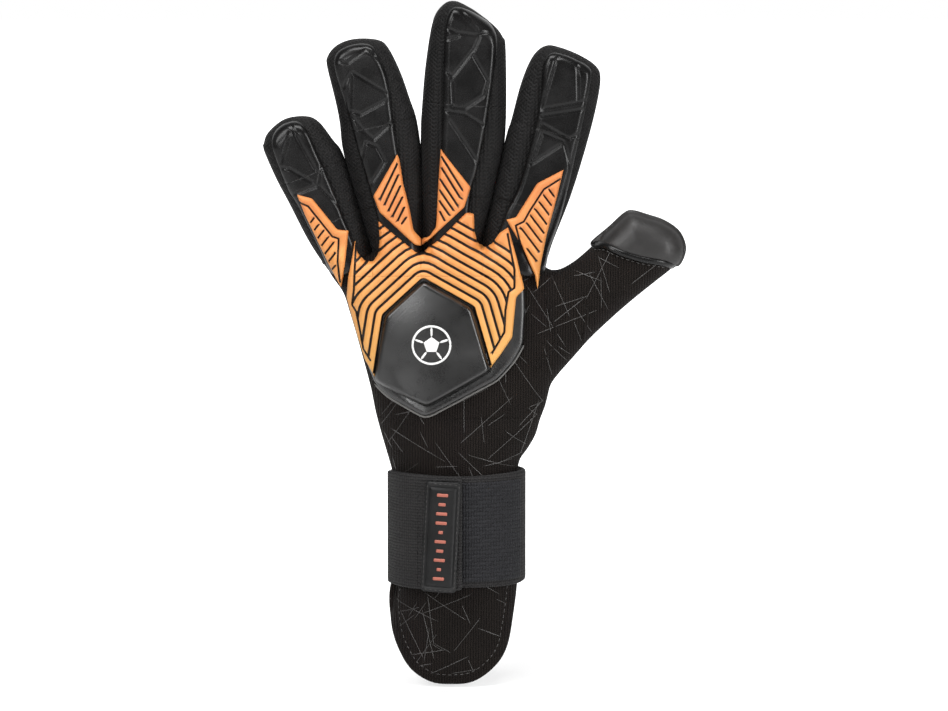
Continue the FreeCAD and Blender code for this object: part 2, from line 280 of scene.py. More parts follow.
def new_object(name, data, *materials):
    """An object for a mesh, a light or a camera, linked to the scene."""
    for material in materials:
        data.materials.append(material)
    made = bpy.data.objects.new(name, data)
    bpy.context.collection.objects.link(made)
    return made


def make_object(name, points, faces, material, groove=None):
    """A smooth-shaded mesh object at the origin from points in millimetres."""
    mesh = bpy.data.meshes.new(name)
    mesh.from_pydata((np.asarray(points) * MM).tolist(), [], [list(map(int, f)) for f in faces])
    if groove is not None:
        mesh.attributes.new("groove", "FLOAT", "POINT").data.foreach_set("value", groove.astype(np.float32))
    mesh.polygons.foreach_set("use_smooth", [True] * len(mesh.polygons))
    return new_object(name, mesh, material)


def relief(name, outline, top, under, material, side=-1, grooves=(), steps=(0.0, 0.4, 1.1), pitch=1.6):
    """A closed slab on the back (side -1) or the palm (side 1), between two height functions.

    top(points, inset) and under(points) give heights in millimetres from Y = 0; inset is the
    distance from the outline."""
    outline = counter_clockwise(outline)
    rims = [offset(outline, step, True) for step in steps if step > 0]
    loops = rims + [loop for groove in grooves for loop in groove.loops()]
    flat, faces = triangulate(outline, loops, pitch)
    inset = distance(flat, outline, True)
    cut, depth = np.zeros(len(flat)), np.zeros(len(flat))
    for groove in grooves:
        share = groove.cut(flat)
        cut = np.maximum(cut, share)
        depth = np.maximum(depth, share * groove.depth)
    upper = top(flat, inset) - depth
    lower = np.minimum(under(flat), upper - 0.05)
    count = len(flat)
    points = np.vstack([np.column_stack([flat[:, 0], side * upper, flat[:, 1]]),
                        np.column_stack([flat[:, 0], side * lower, flat[:, 1]])])
    up, down = (faces, faces[:, ::-1]) if side < 0 else (faces[:, ::-1], faces)
    once = boundary(faces)
    walls = np.column_stack([once[:, 1], once[:, 0], once[:, 0] + count, once[:, 1] + count])
    walls = walls if side < 0 else walls[:, ::-1]
    return make_object(name, points, [*up, *(down + count), *walls], material, np.concatenate([cut, cut * 0]))


def boundary(faces):
    """The edges that only one triangle uses, in that triangle's direction."""
    edges = np.vstack([faces[:, [0, 1]], faces[:, [1, 2]], faces[:, [2, 0]]])
    ends = set(map(tuple, edges))
    return np.array([edge for edge in map(tuple, edges) if (edge[1], edge[0]) not in ends])


# %% [markdown]
# ## Stuffed fabric as a pillow
# A finger's side fabric, the knit of the hand and the thumb are rounded by the hand inside. Seen
# from the back they are an outline again, and their height rises from the outline like a quarter
# of an ellipse. The two halves share the outline's points, so the mesh is closed.


# %% The pillow mesher
class Pillow:
    """A rounded body: an outline, and how high and how broadly it rises on each side."""

    def __init__(self, outline, back, palm, back_round, palm_round):
        self.outline = counter_clockwise(outline)
        self.back, self.palm = back, palm
        self.back_round, self.palm_round = back_round, palm_round

    def height(self, points, side=-1, inset=None):
        """Height of the surface over each point, on the back (-1) or the palm (1)."""
        if inset is None:
            inset = distance(points, self.outline, True) * inside(points, self.outline)
        level, broad = (self.back, self.back_round) if side < 0 else (self.palm, self.palm_round)
        level = level(points) if callable(level) else level
        broad = broad(points) if callable(broad) else broad
        share = np.clip(inset / broad, 0, 1)
        return level * np.sqrt(np.clip(1 - (1 - share) ** 2.2, 0, 1))

    def build(self, name, material, steps=(0.25, 0.8, 1.7, 3.0, 4.8, 7.0), pitch=2.2):
        rims = [offset(self.outline, step, True) for step in steps]
        rims = [rim[inside(rim, self.outline) & (distance(rim, self.outline, True) > 0.7 * step)]
                for rim, step in zip(rims, steps)]
        flat, faces = triangulate(self.outline, [rim for rim in rims if len(rim) > 8], pitch)
        inset = distance(flat, self.outline, True)
        edge = np.unique(boundary(faces))
        count = len(flat)
        twin = np.arange(count, 2 * count)
        twin[edge] = edge
        back = np.column_stack([flat[:, 0], -self.height(flat, -1, inset), flat[:, 1]])
        palm = np.column_stack([flat[:, 0], self.height(flat, 1, inset), flat[:, 1]])
        back[edge, 1] = 0.0
        points = np.vstack([back, palm])
        faces = np.vstack([faces, twin[faces[:, ::-1]]])
        used, faces = np.unique(faces, return_inverse=True)
        return make_object(name, points[used], faces.reshape(-1, 3), material)


# %% [markdown]
# ## Splitting at the phalanges
# Foam runs unbroken over a knuckle, but a piece can bend across one joint only. So each layer is
# made whole, then cut in the middle of each phalanx, where nothing bends, and every cut is closed.


# %% Splitting and joining pieces
def from_bmesh(name, shape, materials):
    mesh = bpy.data.meshes.new(name)
    shape.to_mesh(mesh)
    shape.free()
    return new_object(name, mesh, *materials)


def split(piece, names, cuts):
    """Cuts a closed piece at (point, direction) planes, in metres, and names what lies between."""
    out = []
    for i, name in enumerate(names):
        part = bmesh.new()
        part.from_mesh(piece.data)
        for plane, keep in ((cuts[i - 1] if i else None, 1), (cuts[i] if i < len(cuts) else None, -1)):
            if plane is None:
                continue
            everything = part.verts[:] + part.edges[:] + part.faces[:]
            found = bmesh.ops.bisect_plane(part, geom=everything, dist=1e-7, plane_co=plane[0],
                                           plane_no=plane[1], clear_inner=keep > 0, clear_outer=keep < 0)
            rim = [item for item in found["geom_cut"] if isinstance(item, bmesh.types.BMEdge)]
            bmesh.ops.holes_fill(part, edges=[edge for edge in rim if edge.is_boundary], sides=0)
        bmesh.ops.triangulate(part, faces=[face for face in part.faces if len(face.verts) > 4])
        out.append(from_bmesh(name, part, piece.data.materials))
    bpy.data.objects.remove(piece)
    return out


def join(name, pieces):
    """Several pieces of one finish as one object."""
    whole = bmesh.new()
    for piece in pieces:
        whole.from_mesh(piece.data)
    joined = from_bmesh(name, whole, pieces[0].data.materials)
    for piece in pieces:
        bpy.data.objects.remove(piece)
    return joined


# %% [markdown]
# ## Finishes
# Every finish is a small node tree that reads Object coordinates in millimetres, so a rib or a
# hole has its real size. Grain, dust and woven patterns are shared node groups: they give masks
# and heights, and each material keeps its own Principled shader.


# %% Node helpers
def feed(tree, value, socket):
    """Links a socket to an input, or sets the input to a plain value."""
    if isinstance(value, bpy.types.NodeSocket):
        tree.links.new(value, socket)
    else:
        socket.default_value = value


def add(tree, kind, **settings):
    """A node with its properties and inputs set; _0 is the first input, From_Min the one so named."""
    node = tree.nodes.new(kind)
    for key, value in settings.items():
        if hasattr(node, key):
            setattr(node, key, value)
        else:
            feed(tree, value, node.inputs[int(key[1:]) if key[1:].isdigit() else key.replace("_", " ")])
    return node


def maths(tree, operation, *values):
    node = add(tree, "ShaderNodeMath", operation=operation)
    for slot, value in zip(node.inputs, values):
        feed(tree, value, slot)
    return node.outputs[0]


def times(tree, first, second):
    return maths(tree, "MULTIPLY", first, second)


def plus(tree, first, second):
    return maths(tree, "ADD", first, second)


def spread_range(tree, value, low, high, to_low=0.0, to_high=1.0):
    return add(tree, "ShaderNodeMapRange", Value=value, From_Min=low, From_Max=high, To_Min=to_low,
               To_Max=to_high).outputs["Result"]


def mix(tree, share, *colours):
    first, second = (c if isinstance(c, bpy.types.NodeSocket) else (*c, 1.0) for c in colours)
    return add(tree, "ShaderNodeMix", data_type="RGBA", _0=share, _6=first, _7=second).outputs[2]


def parts_of(tree, vector):
    return add(tree, "ShaderNodeSeparateXYZ", Vector=vector).outputs


def millimetres(tree):
    """Object coordinates in millimetres."""
    place = add(tree, "ShaderNodeTexCoord").outputs["Object"]
    return add(tree, "ShaderNodeVectorMath", operation="SCALE", _0=place, Scale=1 / MM).outputs[0]


def group(name, inputs, outputs, build):
    """A shader node group with named sockets; build wires it."""
    tree = bpy.data.node_groups.new(name, "ShaderNodeTree")
    for label, value in inputs.items():
        kind = "NodeSocketVector" if label == "Place" else "NodeSocketFloat"
        socket = tree.interface.new_socket(label, in_out="INPUT", socket_type=kind)
        if value is not None:
            socket.default_value = value
    for label in outputs:
        tree.interface.new_socket(label, in_out="OUTPUT", socket_type="NodeSocketFloat")
    source, sink = tree.nodes.new("NodeGroupInput"), tree.nodes.new("NodeGroupOutput")
    for label, socket in build(tree, source.outputs).items():
        tree.links.new(socket, sink.inputs[label])
    return tree


def use(tree, shared, **inputs):
    return add(tree, "ShaderNodeGroup", node_tree=shared, **inputs).outputs


# %% [markdown]
# ### Shared groups
# *Grain* is the fine skin of foam and rubber. *Ribs* are rows of knitted or woven yarn, with the
# short stitches along each row. *Net* is an open mesh, made the same from every side so that it
# doesn't smear where the fabric turns towards the palm.


# %% Shared node groups
def wire_grain(tree, given):
    fine = add(tree, "ShaderNodeTexNoise", Vector=given["Place"], Scale=given["Scale"], Detail=3.0)
    broad = add(tree, "ShaderNodeTexNoise", Vector=given["Place"], Scale=0.09, Detail=2.0)
    return {"Fine": fine.outputs["Fac"], "Broad": broad.outputs["Fac"]}


def wire_ribs(tree, given):
    wobble = add(tree, "ShaderNodeTexNoise", Vector=given["Place"], Scale=0.35, Detail=1.0).outputs["Fac"]
    parts = parts_of(tree, given["Place"])
    across = plus(tree, parts["X"], times(tree, wobble, 0.5))
    row = maths(tree, "DIVIDE", times(tree, across, math.pi), given["Pitch"])
    row = maths(tree, "ABSOLUTE", maths(tree, "SINE", row))
    beat = maths(tree, "DIVIDE", times(tree, parts["Z"], 2 * math.pi), given["Stitch"])
    column = maths(tree, "FLOOR", maths(tree, "DIVIDE", across, given["Pitch"]))
    stitch = maths(tree, "SINE", plus(tree, beat, times(tree, column, 2.4)))
    return {"Height": plus(tree, row, times(tree, stitch, 0.22)), "Row": row}


def wire_net(tree, given):
    parts = parts_of(tree, given["Place"])
    k = maths(tree, "DIVIDE", 2 * math.pi, given["Pitch"])
    sines = [maths(tree, "SINE", times(tree, parts[axis], k)) for axis in "XYZ"]
    cosines = [maths(tree, "COSINE", times(tree, parts[axis], k)) for axis in "XYZ"]
    terms = [times(tree, sines[i], cosines[(i + 1) % 3]) for i in range(3)]
    net = plus(tree, plus(tree, terms[0], terms[1]), terms[2])
    return {"Height": net, "Hole": spread_range(tree, net, -0.35, -0.9)}


GRAIN = group("Grain", {"Place": None, "Scale": 2.5}, ("Fine", "Broad"), wire_grain)
RIBS = group("Ribs", {"Place": None, "Pitch": 1.1, "Stitch": 1.0}, ("Height", "Row"), wire_ribs)
NET = group("Net", {"Place": None, "Pitch": 2.0}, ("Height", "Hole"), wire_net)


# %% Material starter
def material(name, roughness=0.6, sheen=0.0, specular=0.5):
    """A material with a Principled shader, its tree and its place in millimetres."""
    made = bpy.data.materials.new(name)
    made.use_nodes = True
    shader = made.node_tree.nodes["Principled BSDF"]
    for key, value in (("Roughness", roughness), ("Sheen Weight", sheen), ("Sheen Roughness", 0.4),
                       ("Specular IOR Level", specular)):
        shader.inputs[key].default_value = value
    return made, made.node_tree, shader, millimetres(made.node_tree)


def bump(tree, shader, height, strength=0.5, depth=0.3):
    """Bump from a height in millimetres."""
    node = add(tree, "ShaderNodeBump", Height=height, Strength=strength, Distance=depth * MM)
    tree.links.new(node.outputs["Normal"], shader.inputs["Normal"])


# %% [markdown]
# ### The orange punch foam
# The pads are sprayed after moulding: redder towards the fingers and more yellow towards the
# wrist, with dark grooves. The mesher wrote how deep in a groove each point lies as an attribute,
# so the dark paint follows the real channels.


# %% Foam and rubber finishes
ORANGE_LOW, ORANGE_HIGH = (0.68, 0.340, 0.085), (0.62, 0.205, 0.055)
GROOVE_DARK = (0.010, 0.006, 0.005)


def punch_foam():
    made, tree, shader, place = material("punch_orange", roughness=0.55)
    height = parts_of(tree, place)["Z"]
    grain = use(tree, GRAIN, Place=place, Scale=2.2)
    fade = spread_range(tree, height, KNUCKLE_Z - 45, KNUCKLE_Z + 22)
    paint = mix(tree, fade, ORANGE_LOW, ORANGE_HIGH)
    paint = mix(tree, times(tree, spread_range(tree, grain["Broad"], 0.4, 0.75), 0.25), paint,
                (0.86, 0.40, 0.11))
    groove = add(tree, "ShaderNodeAttribute", attribute_name="groove").outputs["Fac"]
    paint = mix(tree, spread_range(tree, groove, 0.1, 0.5), paint, GROOVE_DARK)
    tree.links.new(paint, shader.inputs["Base Color"])
    tree.links.new(spread_range(tree, grain["Fine"], 0.3, 0.7, 0.42, 0.62), shader.inputs["Roughness"])
    bump(tree, shader, grain["Fine"], 0.25, 0.12)
    return made


def satin_foam(name, colour, low, high, grain_depth=0.1, grain_scale=2.6, pattern=0.25, specular=0.5):
    """Dark embossed foam, rubber or latex with a fine skin."""
    made, tree, shader, place = material(name, specular=specular)
    grain = use(tree, GRAIN, Place=place, Scale=grain_scale)
    lighter = tuple(min(1.0, c * 1.5 + 0.004) for c in colour)
    tree.links.new(mix(tree, spread_range(tree, grain["Broad"], 0.35, 0.75), colour, lighter),
                   shader.inputs["Base Color"])
    shine = plus(tree, times(tree, grain["Fine"], 0.5),
                  times(tree, grain["Broad"], 0.5))
    tree.links.new(spread_range(tree, shine, 0.35, 0.65, low, high), shader.inputs["Roughness"])
    bump(tree, shader, grain["Fine"], pattern, grain_depth)
    return made


def palm_latex():
    """Open-cell grip latex: matte, with tiny pores."""
    made, tree, shader, place = material("palm_foam", roughness=0.85)
    grain = use(tree, GRAIN, Place=place, Scale=1.4)
    pores = add(tree, "ShaderNodeTexVoronoi", Vector=place, Scale=1.6).outputs["Distance"]
    share = spread_range(tree, grain["Broad"], 0.3, 0.7)
    tone = mix(tree, share, (0.030, 0.030, 0.032), (0.052, 0.052, 0.055))
    tree.links.new(mix(tree, spread_range(tree, pores, 0.05, 0.22, 0.6, 0.0), tone, (0.008, 0.008, 0.008)),
                   shader.inputs["Base Color"])
    bump(tree, shader, plus(tree, pores, grain["Fine"]), 0.5, 0.25)
    return made


# %% [markdown]
# ### Fabrics
# The body is a ribbed stretch knit, the finger sides an open mesh and the strap a woven elastic.
# A little sheen stands for the fuzz of the yarn, which catches light at the edges.


# %% Fabric finishes
def knit():
    made, tree, shader, place = material("knit", roughness=0.85, sheen=0.03, specular=0.12)
    ribs = use(tree, RIBS, Place=place, Pitch=1.15, Stitch=1.0)
    grain = use(tree, GRAIN, Place=place, Scale=1.8)
    yarn = times(tree, ribs["Row"], spread_range(tree, grain["Broad"], 0.2, 0.8, 0.6, 1.0))
    tree.links.new(mix(tree, yarn, (0.0030, 0.0022, 0.0019), (0.0135, 0.0102, 0.0086)),
                   shader.inputs["Base Color"])
    bump(tree, shader, plus(tree, ribs["Height"], times(tree, grain["Fine"], 0.35)), 0.85, 0.4)
    return made


def mesh_fabric():
    made, tree, shader, place = material("mesh", roughness=0.65, sheen=0.02, specular=0.16)
    net = use(tree, NET, Place=place, Pitch=1.75)
    grain = use(tree, GRAIN, Place=place, Scale=2.0)
    yarn = mix(tree, grain["Broad"], (0.0050, 0.0047, 0.0047), (0.0105, 0.0098, 0.0096))
    tree.links.new(mix(tree, net["Hole"], yarn, (0.003, 0.003, 0.003)), shader.inputs["Base Color"])
    bump(tree, shader, net["Height"], 0.55, 0.2)
    return made


def webbing(name, pitch, stitch, cross, dark, light):
    """Woven elastic: ribs run along the strap and finer ones cross them."""
    made, tree, shader, place = material(name, roughness=0.7, sheen=0.03, specular=0.25)
    parts = parts_of(tree, place)
    around = add(tree, "ShaderNodeMath", operation="ARCTAN2", _0=parts["X"], _1=parts["Y"]).outputs[0]
    length = times(tree, around, 27.0)
    turned = add(tree, "ShaderNodeCombineXYZ", X=parts["Z"], Y=0.0, Z=length)
    crossed = add(tree, "ShaderNodeCombineXYZ", X=length, Y=0.0, Z=parts["Z"])
    ribs = use(tree, RIBS, Place=turned.outputs[0], Pitch=pitch, Stitch=stitch)
    rows = use(tree, RIBS, Place=crossed.outputs[0], Pitch=pitch * 0.8, Stitch=stitch)
    weave = plus(tree, ribs["Height"], times(tree, rows["Height"], cross))
    grain = use(tree, GRAIN, Place=place, Scale=1.5)
    yarn = times(tree, spread_range(tree, weave, 0.3, 1.4),
                 spread_range(tree, grain["Broad"], 0.2, 0.8, 0.5, 1.0))
    tree.links.new(mix(tree, yarn, dark, light), shader.inputs["Base Color"])
    bump(tree, shader, weave, 0.8, 0.35)
    return made


def plain(name, colour, roughness):
    made, tree, shader, place = material(name, roughness=roughness)
    grain = use(tree, GRAIN, Place=place, Scale=3.0)
    share = spread_range(tree, grain["Broad"], 0.3, 0.7)
    tree.links.new(mix(tree, share, tuple(c * 0.86 for c in colour), colour), shader.inputs["Base Color"])
    bump(tree, shader, grain["Fine"], 0.2, 0.05)
    return made


FINISH = {
    "punch_orange": punch_foam(),
    "satin_foam": satin_foam("satin_foam", (0.0038, 0.0036, 0.0036), 0.23, 0.31, grain_depth=0.06,
                             specular=0.27),
    "boss_foam": satin_foam("boss_foam", (0.0042, 0.0040, 0.0039), 0.25, 0.36, grain_scale=3.0,
                            specular=0.78),
    "thumb_latex": satin_foam("thumb_latex", (0.0110, 0.0100, 0.0096), 0.42, 0.56, grain_depth=0.08),
    "label_rubber": satin_foam("label_rubber", (0.0036, 0.0036, 0.0038), 0.40, 0.55, grain_depth=0.06,
                               specular=0.28),
    "hook_tape": satin_foam("hook_tape", (0.010, 0.010, 0.010), 0.5, 0.7, grain_depth=0.5,
                            grain_scale=1.2, pattern=0.8),
    "palm_foam": palm_latex(),
    "knit": knit(),
    "mesh": mesh_fabric(),
    "webbing": webbing("webbing", 1.3, 0.7, 0.6, (0.0045, 0.0042, 0.0045), (0.024, 0.0225, 0.0225)),
    "loop_pile": webbing("loop_pile", 1.7, 1.2, 1.0, (0.004, 0.004, 0.0048), (0.016, 0.0162, 0.019)),
    "badge_white": plain("badge_white", (0.86, 0.86, 0.85), 0.5),
    "thread": plain("thread", (0.13, 0.126, 0.12), 0.5),
    "raised_print": plain("raised_print", (0.038, 0.035, 0.033), 0.26),
    "label_print": plain("label_print", (0.42, 0.120, 0.080), 0.5),
}
SLOT_OF = {"thread": "webbing", "raised_print": "knit", "label_print": "label_rubber"}
print("finishes:", len(FINISH))


def settle(piece, finish, bodies, nodes=(), bend=None):
    """Rides a piece on its first body, or else bakes its place into the mesh, and hides the model's parts it
    stands for.
    """
    if bend is None:
        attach(piece, bodies[0])
    else:
        bodies[0]
        bodies[1]
        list(bend)
        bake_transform(piece)
    SLOT_OF.get(finish, finish)
    if nodes:
        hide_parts(*nodes)
    return piece


# %% [markdown]
# ## The stuffed fabric
# The four fingers are separate pillows, and the hand, thumb and wrist are one knitted pillow. The
# wrist is an oval tube 43 mm deep, and it flattens to a flat-cut hand of about 25 mm, so the
# height and the width of its rounding change with Z.

# %% Outlines of the fabric
FINGER_OUTLINE = {
    "little": ((-4, -13), (-6.6, -7.2), (-10, 8.3), (-11.9, 27.5), (-13.2, 39.8), (-13.6, 53.2),
        (-12.4, 56.1), (-8.8, 59.8), (0, 62.5), (9.1, 60.3), (13.5, 55.8), (16.3, 46.2), (18, 39.8),
        (17.4, 25), (16, 9), (13.9, -6.8), (9, -14), (1, -16)),
    "ring": ((-10, -10), (-11, 1), (-13, 25), (-14.5, 47.5), (-13.4, 60.7), (-13.3, 70.6), (-13.8, 86),
        (-12.6, 90), (-9.2, 93.1), (-4.3, 94.8), (2.3, 94.8), (10.2, 92.6), (13.8, 88.9), (16.9, 77.9),
        (18.7, 65), (19.8, 52.6), (17.5, 28), (12.5, 4.4), (11, -8), (6, -14), (-5, -14)),
    "middle": ((-12, -9), (-13.4, 5.9), (-15.8, 30), (-17.1, 52.4), (-17.2, 61.2), (-16.7, 81.1),
        (-14.7, 100.1), (-10.6, 107.6), (-5.6, 109.5), (1.1, 107), (6.5, 103.8), (12.2, 99.8), (16, 95.4),
        (17.9, 89), (19.9, 52.4), (17, 28), (12.9, 5.3), (11.5, -8), (6, -14), (-6, -14)),
    "index": ((-13, -11), (-16.2, 0.5), (-17, 25), (-17.5, 48.3), (-17.1, 55.2), (-16.9, 72.5),
        (-14.9, 84.5), (-10.6, 90.4), (-3.9, 91.2), (5.5, 89.9), (13.2, 87), (16.3, 82.0), (17.5, 69.5),
        (17.5, 51.3), (16.4, 29.2), (13.9, 8.6), (12.7, -4.4), (8, -13), (-6, -14)),
}
HAND_OUTLINE = ((-28.4, 90), (-29.9, 95.9), (-34.3, 111.3), (-36.5, 120), (-38.7, 131), (-44, 151),
    (-47.5, 163), (-50.5, 172), (-56.3, 180.8), (-59, 190), (-53, 196), (-43, 193.5), (-38, 190),
    (-30, 196), (-21, 194), (-15.5, 191), (-6, 197), (4, 197), (11, 192.5), (20, 197), (30, 196), (36, 189),
    (38.4, 183.2), (43.5, 181.9), (50.2, 185.2), (57.2, 191), (66.9, 200.2), (72.6, 205.8), (76.5, 207.2),
    (82.3, 205.8), (89.8, 203), (96, 198.6), (98.6, 192), (97.2, 186.1), (93.3, 182.2), (84.5, 175.2),
    (75.7, 168), (66.9, 160.2), (58.1, 151.8), (51.5, 144.3), (44.9, 136.8), (41, 131.5), (39.6, 126.7),
    (38.3, 121.5), (36.1, 115.7), (34.2, 109.1), (30.8, 103), (27.6, 98.5), (26.4, 94), (26, 86), (25, 76),
    (14, 72), (-14, 72), (-25.5, 76), (-27.5, 86))


def rim(inset, width):
    """A quarter circle: 0 on the outline, 1 from width inwards."""
    return np.sqrt(np.clip(1 - (1 - np.clip(inset / width, 0, 1)) ** 2, 0, 1))


def towards_wrist(points):
    """1 at the wrist's tube, 0 on the flat of the hand."""
    return 1 - smoothstep(points[:, 1], WRIST_Z - 5, WRIST_Z + 42)


PILLOWS = {name: Pillow(STALLS[name].world(smooth(FINGER_OUTLINE[name], 1.3, True)), 9.6, 12.2, 8.0, 8.0)
           for name in FINGERS}
HAND = Pillow(smooth(HAND_OUTLINE, 1.5, True),
              lambda p: 12.6 + 8.6 * towards_wrist(p), lambda p: 12.2 + 9.0 * towards_wrist(p),
              lambda p: 11.5 + 17 * towards_wrist(p), lambda p: 10.5 + 18 * towards_wrist(p))


def skin(points, side=-1):
    """Height of the fabric over each point, with the fingers and the hand softly merged."""
    layers = [pillow.height(points, side) for pillow in (HAND, *PILLOWS.values())]
    return (np.stack(layers) ** 8).sum(0) ** (1 / 8)


# %% [markdown]
# ## Where the glove bends
# The knuckles share one level, so the bend span over them lies between the same two heights for every layer.
# The other joints' spans lie along their own finger. Each layer is cut halfway between two joints.

# %% Bends and cuts
HALF_BEND = 8.0
UP = (0.0, 0.0, 1.0)


def level_bend(z, half=HALF_BEND):
    return (0.0, 0.0, (z - half) * MM), (0.0, 0.0, (z + half) * MM)


def bend_at(stall, joint, half=HALF_BEND):
    along = stall.reach(joint)
    return stall.point(along - half), stall.point(along + half)


def plane(stall, along):
    """A cut across a finger, in metres."""
    return stall.point(along), (stall.along[0], 0.0, stall.along[1])


def finger_cuts(name):
    stall = STALLS[name]
    mid, end = stall.reach(name + "_mid_joint"), stall.reach(name + "_end_joint")
    return [plane(stall, 0.5 * mid), plane(stall, 0.5 * (mid + end))]


def finger_pieces(whole, name, layer, finish):
    """Cuts a finger's layer at its phalanges and sets every part in place."""
    stall = STALLS[name]
    parts = split(whole, [f"{name}_{part}_{layer}.shape" for part in ("proximal", "middle", "distal")],
                  finger_cuts(name))
    bodies = ("hand", name + "_proximal", name + "_middle", name + "_distal")
    bends = (level_bend(KNUCKLE_Z), bend_at(stall, name + "_mid_joint"), bend_at(stall, name + "_end_joint"))
    for i, (part, segment) in enumerate(zip(parts, ("proximal", "middle", "distal"))):
        settle(part, finish, bodies[i:i + 2], [f"{name}_{segment}_{layer}"], bends[i])
    return parts


# %% The finger fabric
for name in FINGERS:
    fabric = PILLOWS[name].build(name + "_fabric", FINISH["mesh"])
    parts = finger_pieces(fabric, name, "gusset", "mesh")
    print(name, "fabric:", [len(part.data.polygons) for part in parts])

# %% [markdown]
# ## The embossed finger foam
# Each finger's back is one foam strip, pressed so that creases part it into facets. The creases
# are irregular on purpose: they let the foam fold the way a finger folds.

# %% Finger foam outlines and creases
FINGER_PAD = {
    "little": ((-5, -8), (-6.5, 5), (-8.1, 25), (-9.5, 33.6), (-9.6, 46.7), (-8.8, 55), (-5.5, 59.4),
        (0, 61), (5.5, 59.6), (8, 54.4), (8.4, 43.8), (9, 30.1), (8.7, 13.7), (8.8, 5.6), (7, -8)),
    "ring": ((-6, -7), (-5.5, 10), (-6, 26), (-7.8, 49.3), (-9, 67.5), (-10.4, 84), (-8.6, 90.4),
        (-3.4, 92.8), (3, 92.8), (7.6, 90.8), (9.6, 86), (11.3, 76.8), (10.8, 65.7), (9.4, 43.5), (8.6, 16),
        (8.4, -7)),
    "middle": ((-9, -7), (-8, 20), (-7.8, 44.1), (-8, 61.7), (-9.2, 90), (-9, 102), (-6.2, 107),
        (-1, 106.7), (5.5, 103.8), (11, 100), (13.9, 92.6), (12.9, 74), (11, 54.1), (8.6, 36.3),
        (6.8, 28.3), (6, 10), (7, -7)),
    "index": ((-9.5, -7), (-10.1, 13.8), (-7.3, 28.3), (-6.8, 48.8), (-7.4, 66.9), (-9.9, 82), (-8.2, 88),
        (-2.6, 89), (4.8, 87.9), (9.6, 86.4), (11.8, 83), (13, 67.4), (13.9, 42.7), (14.2, 20), (13, 6.2),
        (11.6, -7)),
}
CREASES = {
    "little": (((0.6, 55.6), (-9.2, 43.4)), ((1.9, 60), (4.9, 36.5)), ((-9.5, 43.1), (-5.6, 41.1),
        (1.7, 32)), ((8.2, 37), (4.2, 31.1), (3.7, 29.8), (8.3, 18.6)), ((-8.4, 30), (3.7, 29.8))),
    "ring": (((-9.6, 86.8), (-4.1, 84.9), (4.8, 88.9), (9.6, 83.2)), ((-2.9, 80.2), (9.6, 68.6)),
        ((-3.8, 79.9), (-7.5, 64.1), (-3.5, 61.9), (9, 65.6)), ((-7.8, 62.8), (-3.6, 54.7), (-0.1, 50)),
        ((-9, 74), (-3.8, 79.9)), ((-3.8, 49.4), (0.6, 46.7)), ((-0.1, 50), (10, 56)), ((-4, 48.5),
        (-7, 42.7)), ((2.7, 39.5), (-6.6, 29.6)), ((0.6, 46.7), (2.7, 39.5))),
    "middle": (((-8.6, 97), (-3.9, 95.1), (3.7, 94.6), (12.6, 96.8)), ((-5, 106.9), (5.3, 96.9)),
        ((4, 88.9), (5.9, 94.3)), ((-8.8, 91.7), (-3.3, 93.8)), ((-4.9, 76), (1.6, 85.3), (4, 88.9)),
        ((3.8, 85.4), (10.6, 75.2)), ((-4.8, 73.8), (-3.7, 64.2)), ((-4.9, 76), (-9, 80)), ((-3.2, 62.9),
        (1.7, 62.8), (9.2, 68.5)), ((-7, 61), (1.8, 60.1), (9.6, 55.8)), ((10.6, 75.2), (9.2, 68.5)),
        ((-4.6, 56.7), (8.4, 39.4))),
    "index": (((-5.3, 84.1), (-6.1, 63.9)), ((-4.8, 85.6), (-0.6, 89)), ((3.7, 87.8), (8.9, 69.1)),
        ((-5.8, 62.6), (8.5, 69), (13, 71)), ((-5, 59.7), (11.4, 66.6)), ((-3.7, 56.3), (9, 52.8),
        (13, 56.4)), ((-3.3, 52.8), (7.1, 51.4)), ((-3.2, 52.4), (-4.2, 40.3)), ((-4.2, 38.5), (7.2, 51)),
        ((7.2, 51), (13.4, 40))),
}


# %% The finger foam
def raised(rise, width, floor=0.0):
    """A height function: the fabric plus a rise with a rounded rim."""
    return lambda points, inset: skin(points) + floor + (rise - floor) * (0.2 + 0.8 * rim(inset, width))


def sunk(depth, side=-1):
    """A height function: a little inside the fabric, so that no gap shows."""
    return lambda points: skin(points, side) - depth


CREASE_HALF, CREASE_DEPTH = 1.0, 0.5
for name in FINGERS:
    stall = STALLS[name]
    outline = stall.world(smooth(FINGER_PAD[name], 1.2, True))
    lines = [stall.world(spread(np.array(line, float), 1.0) + (0, 1.2)) for line in CREASES[name]]
    grooves = [Groove(line, CREASE_HALF, CREASE_DEPTH, soft=True) for line in lines]
    foam = relief(name + "_foam", outline, raised(2.8, 2.6), sunk(1.2), FINISH["satin_foam"],
                  grooves=grooves, steps=(0, 0.4, 0.9), pitch=0.55)
    parts = finger_pieces(foam, name, "back", "satin_foam")
    print(name, "foam:", [len(part.data.polygons) for part in parts])

# %% [markdown]
# ## The palm
# Grip latex covers the palm side: one slab for the hand and thumb, and one down each finger. It
# stands 3.5 mm out of the fabric and its edge is rounded, as on a flat-cut palm.


# %% Palm latex
def palm_height(points, inset):
    return skin(points, 1) + 3.4 * (0.25 + 0.75 * rim(inset, 2.2))


for name in FINGERS:
    stall = STALLS[name]
    half = [p for p in FINGER_OUTLINE[name] if p[1] > 0]
    low = [(half[-1][0], -5.0), (half[0][0], -5.0)]
    outline = offset(counter_clockwise(rounded(stall.world(half + low), 3, 1.4)), 1.9, True)
    latex = relief(name + "_latex", outline, palm_height, sunk(1.2, 1), FINISH["palm_foam"], 1,
                   steps=(0, 0.5, 1.2, 2.3), pitch=2.2)
    finger_pieces(latex, name, "palm", "palm_foam")

